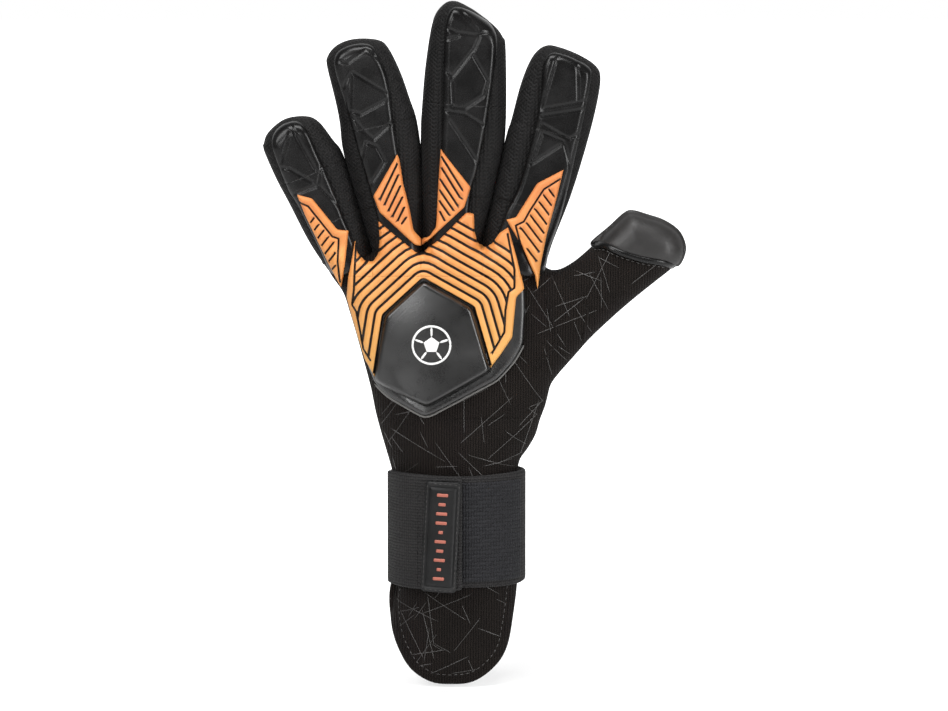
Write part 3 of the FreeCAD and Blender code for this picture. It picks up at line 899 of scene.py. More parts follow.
thumb_half = 0.5 * THUMB.reach("thumb_joint")
palm_line = [p for p in HAND_OUTLINE if p[1] > 112]
palm_line = [(-33.8, 116.5)] + palm_line + [(35.2, 116.5)]
palm_cut = offset(counter_clockwise(rounded(palm_line, 4, 1.6)), 2.2, True)
palm_cut[:, 1] = np.minimum(palm_cut[:, 1], np.where(palm_cut[:, 0] < 40, KNUCKLE_Z - 2.2, 400))
latex = relief("hand_latex", palm_cut, palm_height, sunk(1.2, 1), FINISH["palm_foam"], 1,
               steps=(0, 0.5, 1.2, 2.3), pitch=2.4)
hand_latex, thumb_latex = split(latex, ["palm_latex.shape", "thumb_latex.shape"], [plane(THUMB, thumb_half)])
THUMB_BEND = (THUMB.point(-4), THUMB.point(12))
THUMB_TIP_BEND = bend_at(THUMB, "thumb_joint")
settle(hand_latex, "palm_foam", ("hand", "thumb_base"), ["palm_latex", "thumb_base_palm"], THUMB_BEND)
settle(thumb_latex, "palm_foam", ("thumb_base", "thumb_tip"), ["thumb_tip_palm"], THUMB_TIP_BEND)
print("palm:", len(hand_latex.data.polygons), len(thumb_latex.data.polygons))

# %% [markdown]
# ## The knitted hand
# One pillow gives the wrist, the hand and the thumb, so the knit has no visible break. It is cut
# above the wrist joint and in the middle of the thumb's base.


# %% Knit of the hand
def hand_pieces(whole, names, finish, nodes=((), (), ())):
    """Cuts a layer of the hand into wrist, hand and thumb, and sets each in place."""
    wrist_cut = ((0.0, 0.0, (WRIST_Z + 13) * MM), UP)
    wrist, rest = split(whole, [names[0], names[1] + ".rest"], [wrist_cut])
    hand, tip = split(rest, [names[1], names[2]], [plane(THUMB, thumb_half)])
    settle(wrist, finish, ("cuff", "hand"), nodes[0], level_bend(WRIST_Z))
    settle(hand, finish, ("hand", "thumb_base"), nodes[1], THUMB_BEND)
    settle(tip, finish, ("thumb_base", "thumb_tip"), nodes[2], THUMB_TIP_BEND)
    return wrist, hand, tip


knit_parts = hand_pieces(
    HAND.build("hand_knit", FINISH["knit"], steps=(0.25, 0.8, 1.7, 3.2, 5.4, 8, 11), pitch=2.4),
    ("wrist_knit", "hand_knit.shape", "thumb_knit"), "knit",
    ((), ("backhand_knit", "hand_gussets", "thumb_base_gusset", "thumb_base_back"), ("thumb_tip_gusset",)))
print("knit:", [len(part.data.polygons) for part in knit_parts])


# %% [markdown]
# ## Lines laid on a surface
# Raised print, piping and seams are all thin beads along a line on the fabric. One function lays
# them: it drops the line on the surface and runs a small flat-bottomed bead along it.


# %% Beads on the fabric
def bead(lines, surface, width, height, name, material, step=1.2, side=-1):
    """Thin ridges along lines in X and Z, lying on a surface given as a height function."""
    points, faces = [], []
    for line in lines:
        line = spread(np.asarray(line, float), step)
        if len(line) < 3:
            continue
        ahead = np.gradient(line, axis=0)
        ahead /= np.linalg.norm(ahead, axis=1)[:, None]
        aside = np.stack([-ahead[:, 1], ahead[:, 0]], 1) * width / 2
        taper = np.minimum(1, np.minimum(np.arange(len(line)), np.arange(len(line))[::-1]) * 0.5 + 0.15)
        first = len(points)
        rows = []
        for share, lift in ((-1, -0.25), (-0.6, 0.8), (0, 1), (0.6, 0.8), (1, -0.25)):
            flat = line + aside * share * taper[:, None]
            y = surface(flat) + lift * height * (taper if lift > 0 else 1)
            rows.append(np.column_stack([flat[:, 0], side * y, flat[:, 1]]))
        ring = np.stack(rows, 1)
        points += list(ring.reshape(-1, 3))
        for i in range(len(line) - 1):
            for k in range(5):
                a, b = first + 5 * i + k, first + 5 * i + (k + 1) % 5
                faces.append((a, b, b + 5, a + 5) if side < 0 else (a, a + 5, b + 5, b))
        caps = ([first + k for k in range(5)], [first + 5 * (len(line) - 1) + k for k in range(5)])
        faces += [caps[0][::-1], caps[1]] if side < 0 else [caps[0], caps[1][::-1]]
    return make_object(name, points, faces, material)


# %% Raised print on the knit
chance = np.random.default_rng(7)


def scatter(count, box, length, field, turns):
    """Straight lines of random place near the given turns, kept inside a field."""
    lines = []
    for turn in np.resize(turns, count):
        middle = chance.uniform(box[0], box[1])
        turn = math.radians(turn + chance.normal(0, 9))
        half = chance.uniform(*length) / 2 * np.array([math.cos(turn), math.sin(turn)])
        lines += runs_inside(np.array([middle - half, middle + half]), field, 1.0, 5.0)
    return lines


print_field = offset(HAND.outline, 1.5, True)
print_lines = scatter(190, ((-45, 92), (95, 200)), (7, 34), print_field, (62, 148, 18, 104, 35, 128))
print_parts = hand_pieces(bead(print_lines, HAND.height, 0.42, 0.26, "knit_print", FINISH["raised_print"]),
                          ("wrist_print", "hand_print", "thumb_print"), "raised_print")
print("print lines:", len(print_lines))

# %% [markdown]
# ## The thumb's cap
# The thumb's tip is dipped in smooth latex. The cap follows the knit and stands 1.2 mm out of it,
# and a bound strip covers its slanting edge.

# %% Thumb cap and binding
CAP_OUTLINE = ((-14.8, 31), (-15.8, 41.9), (-16.6, 50.4), (-15.4, 54.2), (-9.8, 58.6), (-3, 63.1),
    (4.8, 65.4), (12, 63.4), (16, 58.4), (16.2, 54.8), (10.5, 52.6), (2.5, 45.6), (-4.9, 40.1), (-11, 36.5))
SEAM = ((-14.4, 30.6), (-11, 35.6), (-4.9, 39.2), (2.9, 44.8), (10.8, 51.8), (16.0, 54.6))
cap = relief("thumb_cap", THUMB.world(smooth(CAP_OUTLINE, 1.0, True)),
             lambda p, inset: HAND.height(p) + 0.3 + 1.1 * rim(inset, 1.6), lambda p: HAND.height(p) - 1.0,
             FINISH["thumb_latex"], steps=(0, 0.3, 0.8, 1.6, 3, 5, 8), pitch=1.8)
settle(cap, "thumb_latex", ("thumb_base", "thumb_tip"), ["thumb_tip_back"], THUMB_TIP_BEND)
binding = bead([THUMB.world(smooth(SEAM, 0.8))], HAND.height, 3.4, 1.7, "thumb_binding",
    FINISH["satin_foam"], 0.8)
settle(binding, "satin_foam", ("thumb_base", "thumb_tip"), (), THUMB_TIP_BEND)
THUMB_SEAMS = (((4.9, 15.1), (17.9, 2.1)), ((-10, 2.7), (1.7, -2.3), (10.2, -7.1), (13.7, -20.7)))
seams = bead([THUMB.world(smooth(line, 0.8)) for line in THUMB_SEAMS], HAND.height, 1.6, 0.45, "thumb_seams",
             FINISH["knit"], 0.8)
settle(seams, "knit", ("hand", "thumb_base"), (), THUMB_BEND)

# %% [markdown]
# ## The backhand foam, the punch pad and the boss
# Three layers stand on the knit: a thin black foam panel, the orange punch pad with its channels,
# and a bevelled black boss. The channels are parallels of one arch over the boss, so each follows
# the one below it at the same distance.


# %% Parallels of an arch
def parallel(corners, by):
    """A line at a distance to the left of straight runs, with round corners."""
    p = np.asarray(corners, float)
    ahead = np.diff(p, axis=0)
    ahead /= np.linalg.norm(ahead, axis=1)[:, None]
    left = np.stack([-ahead[:, 1], ahead[:, 0]], 1)
    out = [p[0] + by * left[0]]
    for i in range(1, len(p) - 1):
        first = math.atan2(left[i - 1][1], left[i - 1][0])
        turn = (math.atan2(left[i][1], left[i][0]) - first + math.pi) % (2 * math.pi) - math.pi
        angles = first + turn * np.linspace(0, 1, 6)
        out += list(p[i] + by * np.stack([np.cos(angles), np.sin(angles)], 1))
    return np.array(out + [p[-1] + by * left[-1]])


# %% Raising the drawn outlines
LOOK_DOWN = math.radians(7)


def seen(points, out):
    """Outlines drawn as seen from a little above, raised for a layer that stands out by that much."""
    return np.asarray(points, float) + np.array([0, out * math.sin(LOOK_DOWN)])


# %% Foam panel under the punch pad
PANEL_OUTLINE = seen(((-36.4, 131), (-31.5, 126.4), (-17.5, 118.9), (-14.4, 117.6), (-11.4, 118.4),
    (17.2, 133.2), (24.5, 141.2), (28.6, 148.6), (29.4, 163), (29.2, 174), (27, 180), (-47.4, 180),
    (-47.9, 168), (-46.4, 161), (-42.4, 146)), 15)
panel_outline = rounded(PANEL_OUTLINE, 3, 1.2)
panel = relief("backhand_panel", panel_outline, raised(2.4, 2.2), sunk(1.2), FINISH["boss_foam"],
               steps=(0, 0.4, 1.0, 2.2), pitch=2.0)
settle(panel, "boss_foam", ("hand",), ["backhand_foam"])
edge_line = rounded(PANEL_OUTLINE[:8], 3, 0.8, closed=False)
piping = bead([offset(edge_line, -0.3)], lambda p: skin(p) + 0.5, 1.1, 0.6, "panel_edge", FINISH["thread"],
    0.8)
settle(piping, "thread", ("hand",))

# %% Punch pad with its channels
PAD_OUTLINE = seen(((-36.1, 133.3), (-40.9, 141.2), (-44, 150.9), (-47.5, 163.2), (-48.8, 168.5),
    (-48, 177.3), (-46.6, 185.2), (-44.9, 194), (-43.8, 188.4), (-40.6, 184.8), (-37, 184.6), (-34.7, 188),
    (-34.2, 195), (-34.8, 202.8), (-26.4, 195.8), (-21, 191.4), (-18, 188.6), (-14.8, 188.6),
    (-12.4, 191.2), (-7.9, 194.9), (3.5, 206.4), (7, 205.5), (7.2, 198), (8.6, 192.4), (11.8, 190.4),
    (15.2, 192.6), (18, 197.4), (22, 200.2), (26, 186.1), (29, 172.9), (25.5, 169.4), (24.2, 155.3),
    (23.8, 151.8), (18.5, 143.9), (14.1, 138.2), (13.9, 139), (6.2, 165.2), (-15, 177.4), (-32, 161.8),
    (-36.3, 136)), 16)
ARCH = seen(((-36, 128), (-30.8, 161), (-15, 175.6), (5.3, 164.1), (14.5, 132)), 16)
LEFT_BORDER = seen(((-44.4, 192.7), (-45.3, 172.9), (-46.2, 165.9), (-44.4, 163.2), (-42.7, 154.4),
    (-41.4, 146.5), (-38.3, 141.7)), 16)
RIGHT_BORDER = seen(((21.6, 197.1), (24.6, 181.7), (24.6, 173.8), (22, 172), (20.7, 164.1), (20.2, 154.4),
    (15.4, 146.1)), 16)
FIELD = np.vstack([LEFT_BORDER, ((-36.4, 136), (14.2, 140.5)), RIGHT_BORDER[::-1],
                   ((21.6, 216), (-44.4, 216))])
STRIPE, FIRST, HALF_CHANNEL, CHANNEL = 3.6, 1.9, 0.66, 1.5
channels = [Groove(spread(np.array(line), 0.8), 0.55, CHANNEL) for line in (LEFT_BORDER, RIGHT_BORDER)]
for k in range(9):
    for run in runs_inside(parallel(ARCH, FIRST + STRIPE * k), FIELD, 0.8, 2.5):
        channels.append(Groove(run, HALF_CHANNEL, CHANNEL))
pad = relief("punch_whole", rounded(PAD_OUTLINE, 0.9, 0.8), raised(5.2, 1.3), sunk(1.2),
             FINISH["punch_orange"], grooves=channels, steps=(0, 0.3, 0.8, 1.4), pitch=1.7)
main, upper = split(pad, ["punch_pad.shape", "punch_upper"],
                    [((0, 0, (KNUCKLE_Z - HALF_BEND - 1.5) * MM), UP)])
settle(main, "punch_orange", ("hand",), ["punch_pad"])
webs = [((x * MM, 0, 0), (1.0, 0.0, 0.0)) for x in (-37.4, -16.3, 10.6)]
for column, name in zip(split(upper, [f"punch_{name}_column" for name in FINGERS], webs), FINGERS):
    settle(column, "punch_orange", ("hand", name + "_proximal"), (), level_bend(KNUCKLE_Z))
print("punch pad:", len(main.data.polygons), "faces,", len(channels), "channels")

# %% Boss and badge
BOSS_OUTLINE = seen(((-15, 176.2), (5.7, 164.5), (13.8, 137.4), (-13.4, 122.4), (-35.9, 132.6),
                     (-31.4, 161.3)), 18)
BADGE = np.array([-11.5, 151.2])
BADGE_PENTAGON, BADGE_RING = 3.6, 8.2


def boss_height(points, inset):
    """A bevel at the edge and a low dome round the badge."""
    dome = 1 - ((points - BADGE) ** 2).sum(1) / 24 ** 2
    return skin(points) + 4.6 + 2.4 * smoothstep(inset, -0.4, 1.7) + 2.4 * dome


boss_outline = offset(counter_clockwise(rounded(BOSS_OUTLINE, 1.8, 1.0)), -0.7, True)
boss = relief("boss", boss_outline, boss_height, lambda p: skin(p) + 0.6, FINISH["boss_foam"],
              steps=(0, 0.4, 0.8, 1.3, 1.9, 2.6, 3.4, 4.3, 5.3, 6.4), pitch=1.7)
settle(boss, "boss_foam", ("hand",), ["knuckle_boss"])


def ring_points(radius, count, turn=0.0):
    angles = np.linspace(0, 2 * math.pi, count, endpoint=False) + turn
    return BADGE + radius * np.stack([np.cos(angles), np.sin(angles)], 1)


def on_boss(points):
    return boss_height(points, distance(points, boss_outline, True))


corners = ring_points(BADGE_PENTAGON, 5, math.pi / 2)
spokes = zip(corners, ring_points(BADGE_RING - 0.4, 5, math.pi / 2))
ring = smooth(ring_points(BADGE_RING, 40), 0.8, True)
parts = [relief("badge_middle", rounded(corners, 0.4, 0.6), lambda p, i: on_boss(p) + 0.25 + 0.55 * rim(i,
    0.5), lambda p: on_boss(p) - 0.5, FINISH["badge_white"], steps=(0, 0.25, 0.6), pitch=0.9),
    bead([*spokes, np.vstack([ring, ring[:2]])], on_boss, 1.1, 0.7, "badge_lines", FINISH["badge_white"],
    0.6)]
settle(join("badge_inlay.shape", parts), "badge_white", ("hand",), ["badge_inlay"])

# %% [markdown]
# ## The orange pads on the finger bases
# Two diamonds and two wings carry the orange up the fingers. Their slots are drawn in the
# finger's own frame, and the wings' slots are parallels that the field cuts to length.

# %% Diamonds and wings
DIAMONDS = {
    "ring": (((8.5, 41.5), (-5.6, 25.5), (-4.4, 18), (2.6, 8.1), (7.8, 0.7), (10.6, -0.8), (11.2, 2.3),
        (8.6, 6.9), (8.8, 16.7), (8.4, 28), (8.9, 39.1)), (((7.6, 37.1), (-2.2, 24.3)), ((7.1, 32.3),
        (-1, 21.4)), ((7, 27.4), (0.2, 18.5)), ((6.9, 22.5), (1.5, 15.9)), ((6.8, 18), (3.2, 13.4)),
        ((6.5, 13.4), (4.4, 11.3)))),
    "middle": (((-7.8, 44.1), (6.4, 28.2), (4.3, 19.3), (-13.5, 0.6), (-13.7, 3.7), (-10.3, 5.2),
        (-7.9, 9.7), (-7.8, 15.5), (-7.9, 30.9)), (((-7.1, 40.6), (2.5, 27.1)), ((-6.8, 35.8), (1.8, 23.6)),
        ((-7.2, 30.9), (0.7, 20.4)), ((-7.1, 26.1), (-0.9, 18.1)), ((-6.8, 21.3), (-2.5, 15.8)),
        ((-6.5, 16.8), (-4.2, 13.1)))),
}
WINGS = {
    "little": (((-7.3, 29.5), (-1.4, 25.2), (0.3, 19.8), (3.8, 8.5), (8.2, 6.3), (1.9, -5.9), (-4.6, -16.5),
        (-5.8, -5), (-6.6, 8), (-7.4, 20)), ((-7.4, 25.7), (-4.3, 22.6), (-0.4, 9.7), (0.6, 6.5),
        (2.8, 4.7), (-1.3, -4.6), (-3.7, -13.1)), ((-6.4, 22), (-4.6, 19), (-1.8, 9.2), (-0.8, 5.6),
        (0.9, 4), (-2.4, -4.6), (-4.4, -10), (-5.2, -2), (-5.8, 8)), (-5.3, -7.0)),
    "index": (((10.6, 39.6), (0.6, 30.6), (-2.2, 21.8), (-4.7, 13.9), (-8.7, 11.9), (0.4, 2.9), (9.6, -8.4),
        (12.5, -14.4), (11.4, -4), (10.6, 10), (10.8, 25)), ((9.9, 34.9), (4.2, 28.9), (0.8, 18.9),
        (-0.8, 13), (-3.8, 10.5), (0.4, 2.9), (8.4, -7.6)), ((9.3, 31.5), (5.2, 27.4), (2.2, 18.4),
        (0.7, 12), (-1.6, 9.4), (2.2, 3.8), (8.2, -4.4), (9, 5), (9.2, 18.7)), (5.3, -7.0)),
}


def finger_punch(name, piece_name, outline, lines, half=0.55):
    """An orange pad on a finger's base, with a dark channel along every line."""
    stall = STALLS[name]
    cuts = [Groove(seen(spread(line, 0.8), 13), half, 1.3) for line in lines]
    pad = relief(piece_name + ".shape", rounded(seen(stall.world(outline), 13), 1.0, 0.8), raised(5.0, 1.2),
                 sunk(0.8), FINISH["punch_orange"], grooves=cuts, steps=(0, 0.3, 0.8, 1.3), pitch=1.6)
    settle(pad, "punch_orange", ("hand", name + "_proximal"), [piece_name], level_bend(KNUCKLE_Z))
    print(piece_name, len(pad.data.polygons), "faces")


for name, (outline, lines) in DIAMONDS.items():
    finger_punch(name, "punch_diamond_" + name, outline, [STALLS[name].world(line) for line in lines])
for name, (outline, inner, field, direction) in WINGS.items():
    field = STALLS[name].world(field)
    along = np.array(direction) / np.linalg.norm(direction)
    across = np.array([-along[1], along[0]])
    lines = [STALLS[name].world(inner)]
    for k in range(-9, 10):
        middle = field.mean(0) + across * 3.3 * k
        lines += runs_inside(np.array([middle - 20 * along, middle + 20 * along]), field, 0.6, 1.6)
    finger_punch(name, "punch_wing_" + name, outline, lines, 0.5)

# %% [markdown]
# ## The cuff
# The cuff is a hollow tube of elastic knit with a long tongue on the back. Its section is an oval,
# and towards the tongue's end the oval opens and flattens, so the tongue hangs nearly straight.

# %% Cuff halves
CUFF_OUTLINE = ((-27.0, 93), (-27.2, 62), (-29.0, 47), (-30.6, 36.5), (-29.4, 24), (-26, 14.5),
    (-20.6, 6.4), (-12.3, 1.3), (-3.5, 0.3), (7, 1.6), (16.4, 8), (21.8, 17), (24.6, 32), (26.2, 45.3),
    (27.0, 62), (27.0, 93), (20, 93.5), (-20, 93.5))
CUFF_HALF, CUFF_RISE = 27.2, 21.4


def cuff_height(points):
    """The oval's height: it shifts a little to the left and flattens below the strap."""
    low = 1 - smoothstep(points[:, 1], 0, 48)
    half = CUFF_HALF + 5.5 * low
    share = np.clip(np.abs(points[:, 0] + 1.8 * low) / half, 0, 1)
    folds = 0.35 * np.sin(points[:, 0] * 0.21 + points[:, 1] * 0.13) * low
    return (CUFF_RISE - 4.0 * low) * np.sqrt(np.clip(1 - share ** 2.1, 0, 1)) + folds


def cuff_wall(points, inset):
    return cuff_height(points) - 0.9 * (1 - rim(inset, 1.2))


cuff_back = relief("cuff_back.shape", smooth(CUFF_OUTLINE, 1.3, True), cuff_wall,
    lambda p: cuff_height(p) - 2.4, FINISH["knit"], steps=(0, 0.3, 0.8, 1.4, 2.4, 4), pitch=2.2)
settle(cuff_back, "knit", ("cuff",), ["cuff_back"])
palm_half = rounded(((-27, 93), (-27.6, 42), (-23, 36.5), (21.5, 36.5), (26.4, 42), (27, 93)), 5, 1.3)
cuff_palm = relief("cuff_palm.shape", palm_half, cuff_wall, lambda p: cuff_height(p) - 2.4, FINISH["knit"], 1,
                   steps=(0, 0.3, 0.8, 1.4, 2.4, 4), pitch=2.4)
settle(cuff_palm, "knit", ("cuff",), ["cuff_palm"])
hem = offset(smooth(CUFF_OUTLINE[2:14], 1.0), 2.6)
piping = bead([hem], lambda p: cuff_height(p) - 0.15, 0.9, 0.35, "cuff_hem", FINISH["knit"], 1.0)
settle(piping, "knit", ("cuff",))
cuff_field = offset(counter_clockwise(smooth(CUFF_OUTLINE, 1.3, True)), 3, True)
cuff_lines = scatter(30, ((-28, 3), (28, 46)), (6, 24), cuff_field, (58, 150, 20, 110))
cuff_print = bead(cuff_lines, cuff_height, 0.42, 0.26, "cuff_print", FINISH["raised_print"])
settle(cuff_print, "raised_print", ("cuff",))

# %% [markdown]
# ## The wrist strap
# The strap's parts are strips wound on the oval. They are drawn flat, as a length round the wrist
# and a height, and then every point is laid on the oval at its own distance from the cuff.


# %% Winding strips on the oval
def oval_table(count=4000):
    turn = np.linspace(-math.pi, math.pi, count)
    place = np.stack([CUFF_HALF * np.sin(turn), -CUFF_RISE * np.cos(turn)], 1)
    run = np.concatenate([[0], np.cumsum(np.linalg.norm(np.diff(place, axis=0), axis=1))])
    return turn, run - np.interp(0, turn, run)


TURNS, RUNS = oval_table()


def along_strap(x):
    """Length round the wrist, from the middle of the back, at a place across it."""
    return float(np.interp(math.asin(max(-1, min(1, x / CUFF_HALF))), TURNS, RUNS))


def oval(turn, height):
    """X and Y at a turn round the oval and a height over the cuff."""
    normal = np.stack([CUFF_RISE * np.sin(turn), -CUFF_HALF * np.cos(turn)], -1)
    normal /= np.linalg.norm(normal, axis=-1, keepdims=True)
    middle = np.stack([CUFF_HALF * np.sin(turn), -CUFF_RISE * np.cos(turn)], -1)
    return middle + normal * np.asarray(height)[..., None]


def wind(piece):
    """Lays a flat strip on the oval: X is the length round the wrist and -Y the height over it."""
    flat = np.array([tuple(v.co) for v in piece.data.vertices]) / MM
    place = oval(np.interp(flat[:, 0], RUNS, TURNS), -flat[:, 1])
    piece.data.vertices.foreach_set("co", (np.column_stack([place, flat[:, 2]]) * MM).ravel())
    piece.data.update()
    return piece


def strip(name, outline, low, high, material, round_edge=0.8, pitch=2.0, grooves=()):
    """A strip between two heights over the cuff, each a function of the length."""
    return wind(relief(name, outline, lambda p, i: high(p[:, 0]) - round_edge * (1 - rim(i,
        round_edge)) * 0.8, lambda p: low(p[:, 0]), material, steps=(0, 0.3, 0.8), pitch=pitch,
        grooves=grooves))


def strap_box(start, end, low, high, radius=1.5):
    return rounded(((start, low), (end, low), (end, high), (start, high)), radius, 1.2)


# %% The band round the wrist
def sweep(name, profile, material, count=150):
    """A closed band: a profile of (height over the cuff, Z) swept round the oval."""
    turns = np.linspace(-math.pi, math.pi, count, endpoint=False)
    points, faces, n = [], [], len(profile)
    for turn in turns:
        for out, z in profile:
            wave = 0.25 * math.sin(3 * turn + 0.05 * z)
            points.append((*oval(turn, out), z + wave))
    for i in range(count):
        for k in range(n):
            a, b = i * n + k, i * n + (k + 1) % n
            c, d = ((i + 1) % count) * n + (k + 1) % n, ((i + 1) % count) * n + k
            faces.append((a, d, c, b))
    return make_object(name, points, faces, material)


STRAP_LOW, STRAP_HIGH = 44.4, 93.8
profile = [(0.3, STRAP_LOW), (1.8, STRAP_LOW), (2.4, STRAP_LOW + 0.5), (2.6, STRAP_LOW + 1.5)]
profile += [(2.6, z) for z in np.linspace(STRAP_LOW + 6, STRAP_HIGH - 6, 8)]
profile += [(2.6, STRAP_HIGH - 1.5), (2.4, STRAP_HIGH - 0.5), (1.8, STRAP_HIGH), (0.3, STRAP_HIGH)]
band = sweep("strap_band.shape", profile, FINISH["webbing"])
settle(band, "webbing", ("cuff",), ["strap_band"])

# %% The loop patch, the free end and its hook patch
LABEL_LEFT, LABEL_RIGHT, TONGUE_END = along_strap(-12.4), along_strap(0.2), along_strap(1.6)
TONGUE_START, LOOP_END = along_strap(-26.2), along_strap(24.8)
loop = strip("loop_patch.shape", strap_box(LABEL_LEFT + 2, LOOP_END, 47, 91), lambda s: 2.3 + 0 * s,
             lambda s: 3.5 + 0 * s, FINISH["loop_pile"])
settle(loop, "loop_pile", ("cuff",), ["loop_patch"])


def lift(s):
    """The free end leaves the band at its root and lies over the loop patch."""
    return 2.4 + 1.9 * smoothstep(s, TONGUE_START, TONGUE_START + 16)


def over_strap(s, height=3.5):
    """A place over the strap, in metres."""
    x, y = oval(np.interp(s, RUNS, TURNS), height)
    return (x * MM, y * MM, 0.0)


tongue = strip("strap_tongue.shape", strap_box(TONGUE_START - 2, TONGUE_END, 44, 94), lift,
    lambda s: lift(s) + 2.3, FINISH["webbing"], 1.0, pitch=1.5)
fold = over_strap(TONGUE_START), over_strap(TONGUE_START + 13)
settle(tongue, "webbing", ("cuff", "strap_end"), ["strap_tongue"], fold)
hook = strip("hook_patch.shape", strap_box(LABEL_LEFT + 1, TONGUE_END - 2, 47, 91), lambda s: lift(s) - 0.75,
             lambda s: lift(s) + 0.3, FINISH["hook_tape"])
settle(hook, "hook_tape", ("strap_end",), ["hook_patch"])

# %% [markdown]
# ### The label
# A moulded rubber label is sewn on the end. It carries a raised double frame and a column of plain
# bars where lettering would stand, so it says nothing.


# %% The rubber label
def label_line(s, z):
    """A place on the label, turned a little, as the sewn label is."""
    lean = math.radians(2.4)
    middle = np.array([(LABEL_LEFT + LABEL_RIGHT) / 2, 67.6])
    turn = np.array([[math.cos(lean), math.sin(lean)], [-math.sin(lean), math.cos(lean)]])
    return middle + turn @ np.array([s, z])


def label_box(half_wide, half_high, radius, low=None, step=0.8):
    """A rounded box on the label: centred, or from a lower edge to the same distance above it."""
    low, high = (-half_high, half_high) if low is None else (low, low + 2 * half_high)
    corners = ((-half_wide, low), (half_wide, low), (half_wide, high), (-half_wide, high))
    return rounded([label_line(s, z) for s, z in corners], radius, step)


label_half = (LABEL_RIGHT - LABEL_LEFT) / 2
frame_groove = Groove(label_box(label_half - 1.5, 22.0, 0.8), 0.4, 0.4, True)
label = strip("label_plate", label_box(label_half, 24.4, 1.6), lambda s: lift(s) + 2.0,
    lambda s: lift(s) + 3.5, FINISH["label_rubber"], 0.7, 1.4, [frame_groove])
bars = []
for i, half in enumerate((2.0, 1.3, 2.0, 2.0, 0.8, 2.0, 1.3, 2.0, 0.8, 2.0)):
    outline = label_box(half, 0.7, 0.4, 18.6 - 4.1 * i - 0.7, 0.5)
    bars.append(strip(f"label_bar_{i}", outline, lambda s: lift(s) + 3.3, lambda s: lift(s) + 3.75,
                      FINISH["label_print"], 0.2, 0.8))
settle(label, "label_rubber", ("strap_end",), ["strap_label"])
settle(join("label_bars", bars), "label_print", ("strap_end",))

# %% [markdown]
# ## Stitches
# Thread repeats at an even spacing, so Geometry Nodes lays it: a curve is resampled and a short
# rounded stitch stands on every point, turned along the seam. The group is applied to a plain mesh.


# %% The stitch node group
def stitch_group():
    tree = bpy.data.node_groups.new("Stitches", "GeometryNodeTree")
    for label, kind in (("Geometry", "Geometry"), ("Spacing", "Float"), ("Length", "Float"),
                        ("Thickness", "Float"), ("Material", "Material")):
        tree.interface.new_socket(label, in_out="INPUT", socket_type="NodeSocket" + kind)
    tree.interface.new_socket("Geometry", in_out="OUTPUT", socket_type="NodeSocketGeometry")
    given = add(tree, "NodeGroupInput").outputs
    curve = add(tree, "GeometryNodeMeshToCurve", Mesh=given["Geometry"]).outputs["Curve"]
    even = add(tree, "GeometryNodeResampleCurve", mode="LENGTH", Curve=curve, Length=given["Spacing"])
    ball = add(tree, "GeometryNodeMeshIcoSphere", Subdivisions=2, Radius=1.0).outputs["Mesh"]
    tangent = add(tree, "GeometryNodeInputTangent").outputs["Tangent"]
    turn = add(tree, "FunctionNodeAlignEulerToVector", axis="X", Vector=tangent).outputs["Rotation"]
    size = add(tree, "ShaderNodeCombineXYZ", X=times(tree, given["Length"], 0.5), Y=given["Thickness"],
               Z=given["Thickness"]).outputs["Vector"]
    placed = add(tree, "GeometryNodeInstanceOnPoints", Points=even.outputs["Curve"], Instance=ball,
                 Rotation=turn, Scale=size).outputs["Instances"]
    real = add(tree, "GeometryNodeRealizeInstances", Geometry=placed).outputs["Geometry"]
    paint = add(tree, "GeometryNodeSetMaterial", Geometry=real, Material=given["Material"])
    add(tree, "NodeGroupOutput", Geometry=paint.outputs["Geometry"])
    return tree


STITCHES = stitch_group()


def stitch(name, lines, bodies, spacing=2.4, length=1.6, thickness=0.28, finish="thread", bend=None):
    """Rows of stitches along lines of (x, y, z) points in millimetres."""
    points, edges = [], []
    for line in lines:
        edges += [(len(points) + i, len(points) + i + 1) for i in range(len(line) - 1)]
        points += [tuple(np.asarray(p) * MM) for p in line]
    mesh = bpy.data.meshes.new(name)
    mesh.from_pydata(points, edges, [])
    piece = new_object(name, mesh)
    modifier = piece.modifiers.new("Stitches", "NODES")
    modifier.node_group = STITCHES
    values = {"Spacing": spacing * MM, "Length": length * MM, "Thickness": thickness * MM,
              "Material": FINISH[finish]}
    for item in STITCHES.interface.items_tree:
        if item.item_type == "SOCKET" and item.in_out == "INPUT" and item.name in values:
            modifier[item.identifier] = values[item.name]
    bpy.context.view_layer.update()
    made = bpy.data.meshes.new_from_object(piece.evaluated_get(bpy.context.evaluated_depsgraph_get()))
    piece.modifiers.remove(modifier)
    piece.data = made
    made.polygons.foreach_set("use_smooth", [True] * len(made.polygons))
    settle(piece, finish, bodies, (), bend)
    print(name, len(made.polygons), "faces")
    return piece


# %% Lines for the stitches
def on_surface(line, surface, lift_by):
    """A line on the back of the glove, at a height over a surface."""
    return np.column_stack([line[:, 0], -(surface(line) + lift_by), line[:, 1]])


def on_strap(line, height):
    """A closed line of the flat strap, laid on the oval at a height over the cuff."""
    line = np.vstack([line, line[:1]])
    return np.column_stack([oval(np.interp(line[:, 0], RUNS, TURNS), height(line[:, 0])), line[:, 1]])


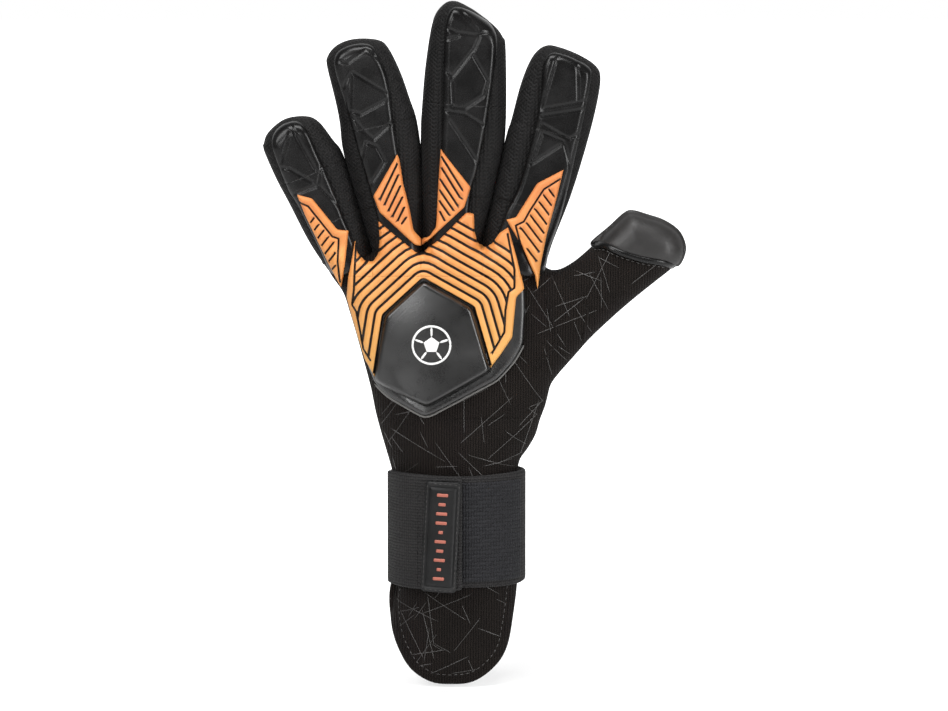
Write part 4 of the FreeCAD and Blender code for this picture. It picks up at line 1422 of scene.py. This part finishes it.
end_box = strap_box(LABEL_LEFT - 2.6, TONGUE_END - 1.2, 45.6, 92.4, 1.0)
stitch("strap_stitches", [on_strap(end_box, lambda s: lift(s) + 2.32)], ("strap_end",), 2.2, 1.5, 0.25,
    "webbing")
label_seam = on_strap(label_box(label_half - 0.75, 23.4, 1.2), lambda s: lift(s) + 3.4)
stitch("label_stitches", [label_seam], ("strap_end",), 2.2, 1.4, 0.2, "raised_print")
hem_line = offset(smooth(CUFF_OUTLINE[2:14], 1.0), 4.4)
stitch("cuff_stitches", [on_surface(hem_line, cuff_height, 0.05)], ("cuff",), 2.6, 1.7, 0.24, "raised_print")
panel_line = offset(rounded(PANEL_OUTLINE[:8], 3, 0.8, closed=False), 1.9)
stitch("panel_stitches", [on_surface(panel_line, skin, 2.25)], ("hand",), 2.4, 1.5, 0.22, "raised_print")
binding_line = THUMB.world(offset(smooth(SEAM, 0.8), -1.9))
stitch("binding_stitches", [on_surface(binding_line[2:-7], HAND.height, 0.6)],
       ("thumb_base", "thumb_tip"), 2.3, 1.5, 0.24, "raised_print", THUMB_TIP_BEND)

# %% [markdown]
# ## Stage, light and camera
# A white sweep with broad soft lights. The light from the left and above gives the satin foam its
# long highlights, and the floor mirrors the cuff faintly. The sky is white to the camera, and dim
# to everything but a band in front, so that it doesn't wash out the blacks.

# %% Stage and lights
def stage_material():
    """A glossy white that glows to the camera only, and fully so away from the glove."""
    made = bpy.data.materials.new("stage_white")
    made.use_nodes = True
    tree = made.node_tree
    shader = tree.nodes["Principled BSDF"]
    shader.inputs["Base Color"].default_value = (0.93, 0.93, 0.93, 1)
    shader.inputs["Roughness"].default_value = 0.06
    shader.inputs["Emission Color"].default_value = (1, 1, 1, 1)
    to_camera = add(tree, "ShaderNodeLightPath").outputs["Is Camera Ray"]
    place = add(tree, "ShaderNodeTexCoord").outputs["Object"]
    far = add(tree, "ShaderNodeVectorMath", operation="LENGTH", _0=place).outputs["Value"]
    glow = times(tree, to_camera, spread_range(tree, far, 0.05, 0.45, 0.30, 1.0))
    tree.links.new(glow, shader.inputs["Emission Strength"])
    return made


low = min(0.0, float(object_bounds()[0][2])) - 0.0012
floor_mesh = bpy.data.meshes.new("floor")
floor_mesh.from_pydata([(-6, -6, low), (6, -6, low), (6, 6, low), (-6, 6, low)], [], [(0, 1, 2, 3)])
new_object("floor", floor_mesh, stage_material())

world = bpy.data.worlds.new("studio")
world.use_nodes = True
tree = world.node_tree
sky = tree.nodes["Background"]
sky.inputs["Color"].default_value = (1.0, 1.0, 1.0, 1.0)
to_camera = add(tree, "ShaderNodeLightPath").outputs["Is Camera Ray"]
toward = parts_of(tree, add(tree, "ShaderNodeTexCoord").outputs["Generated"])["Y"]
behind = spread_range(tree, toward, 0.55, 0.9, 0.10, 1.0)
tree.links.new(maths(tree, "MAXIMUM", to_camera, behind), sky.inputs["Strength"])
bpy.context.scene.world = world


def soft_light(name, place, size, power):
    data = bpy.data.lights.new(name, "AREA")
    data.shape = "RECTANGLE"
    data.size, data.size_y = size
    data.energy = power
    light = new_object(name, data)
    light.location = place
    light.rotation_euler = (Vector(CENTRE) - Vector(place)).to_track_quat("-Z", "Y").to_euler()


CENTRE = (0.007, 0.0, 0.144)
soft_light("key", (-0.75, -0.75, 0.95), (0.5, 0.9), 11)
soft_light("front", (-0.32, -1.35, 0.52), (0.26, 0.40), 3.6)
soft_light("fill", (0.95, -0.7, 0.45), (0.3, 0.9), 10)
soft_light("top", (0.0, -0.2, 1.3), (0.8, 0.5), 11)

# %% Camera
camera_data = bpy.data.cameras.new("camera")
camera_data.sensor_width = 36
camera_data.lens = 172.7
camera = new_object("camera", camera_data)
DISTANCE = 2.0
camera.location = (CENTRE[0], -DISTANCE * math.cos(LOOK_DOWN), CENTRE[2] + DISTANCE * math.sin(LOOK_DOWN))
camera.rotation_euler = (math.radians(90) - LOOK_DOWN, 0, 0)
bpy.context.scene.camera = camera
bpy.context.scene.view_settings.view_transform = "Standard"
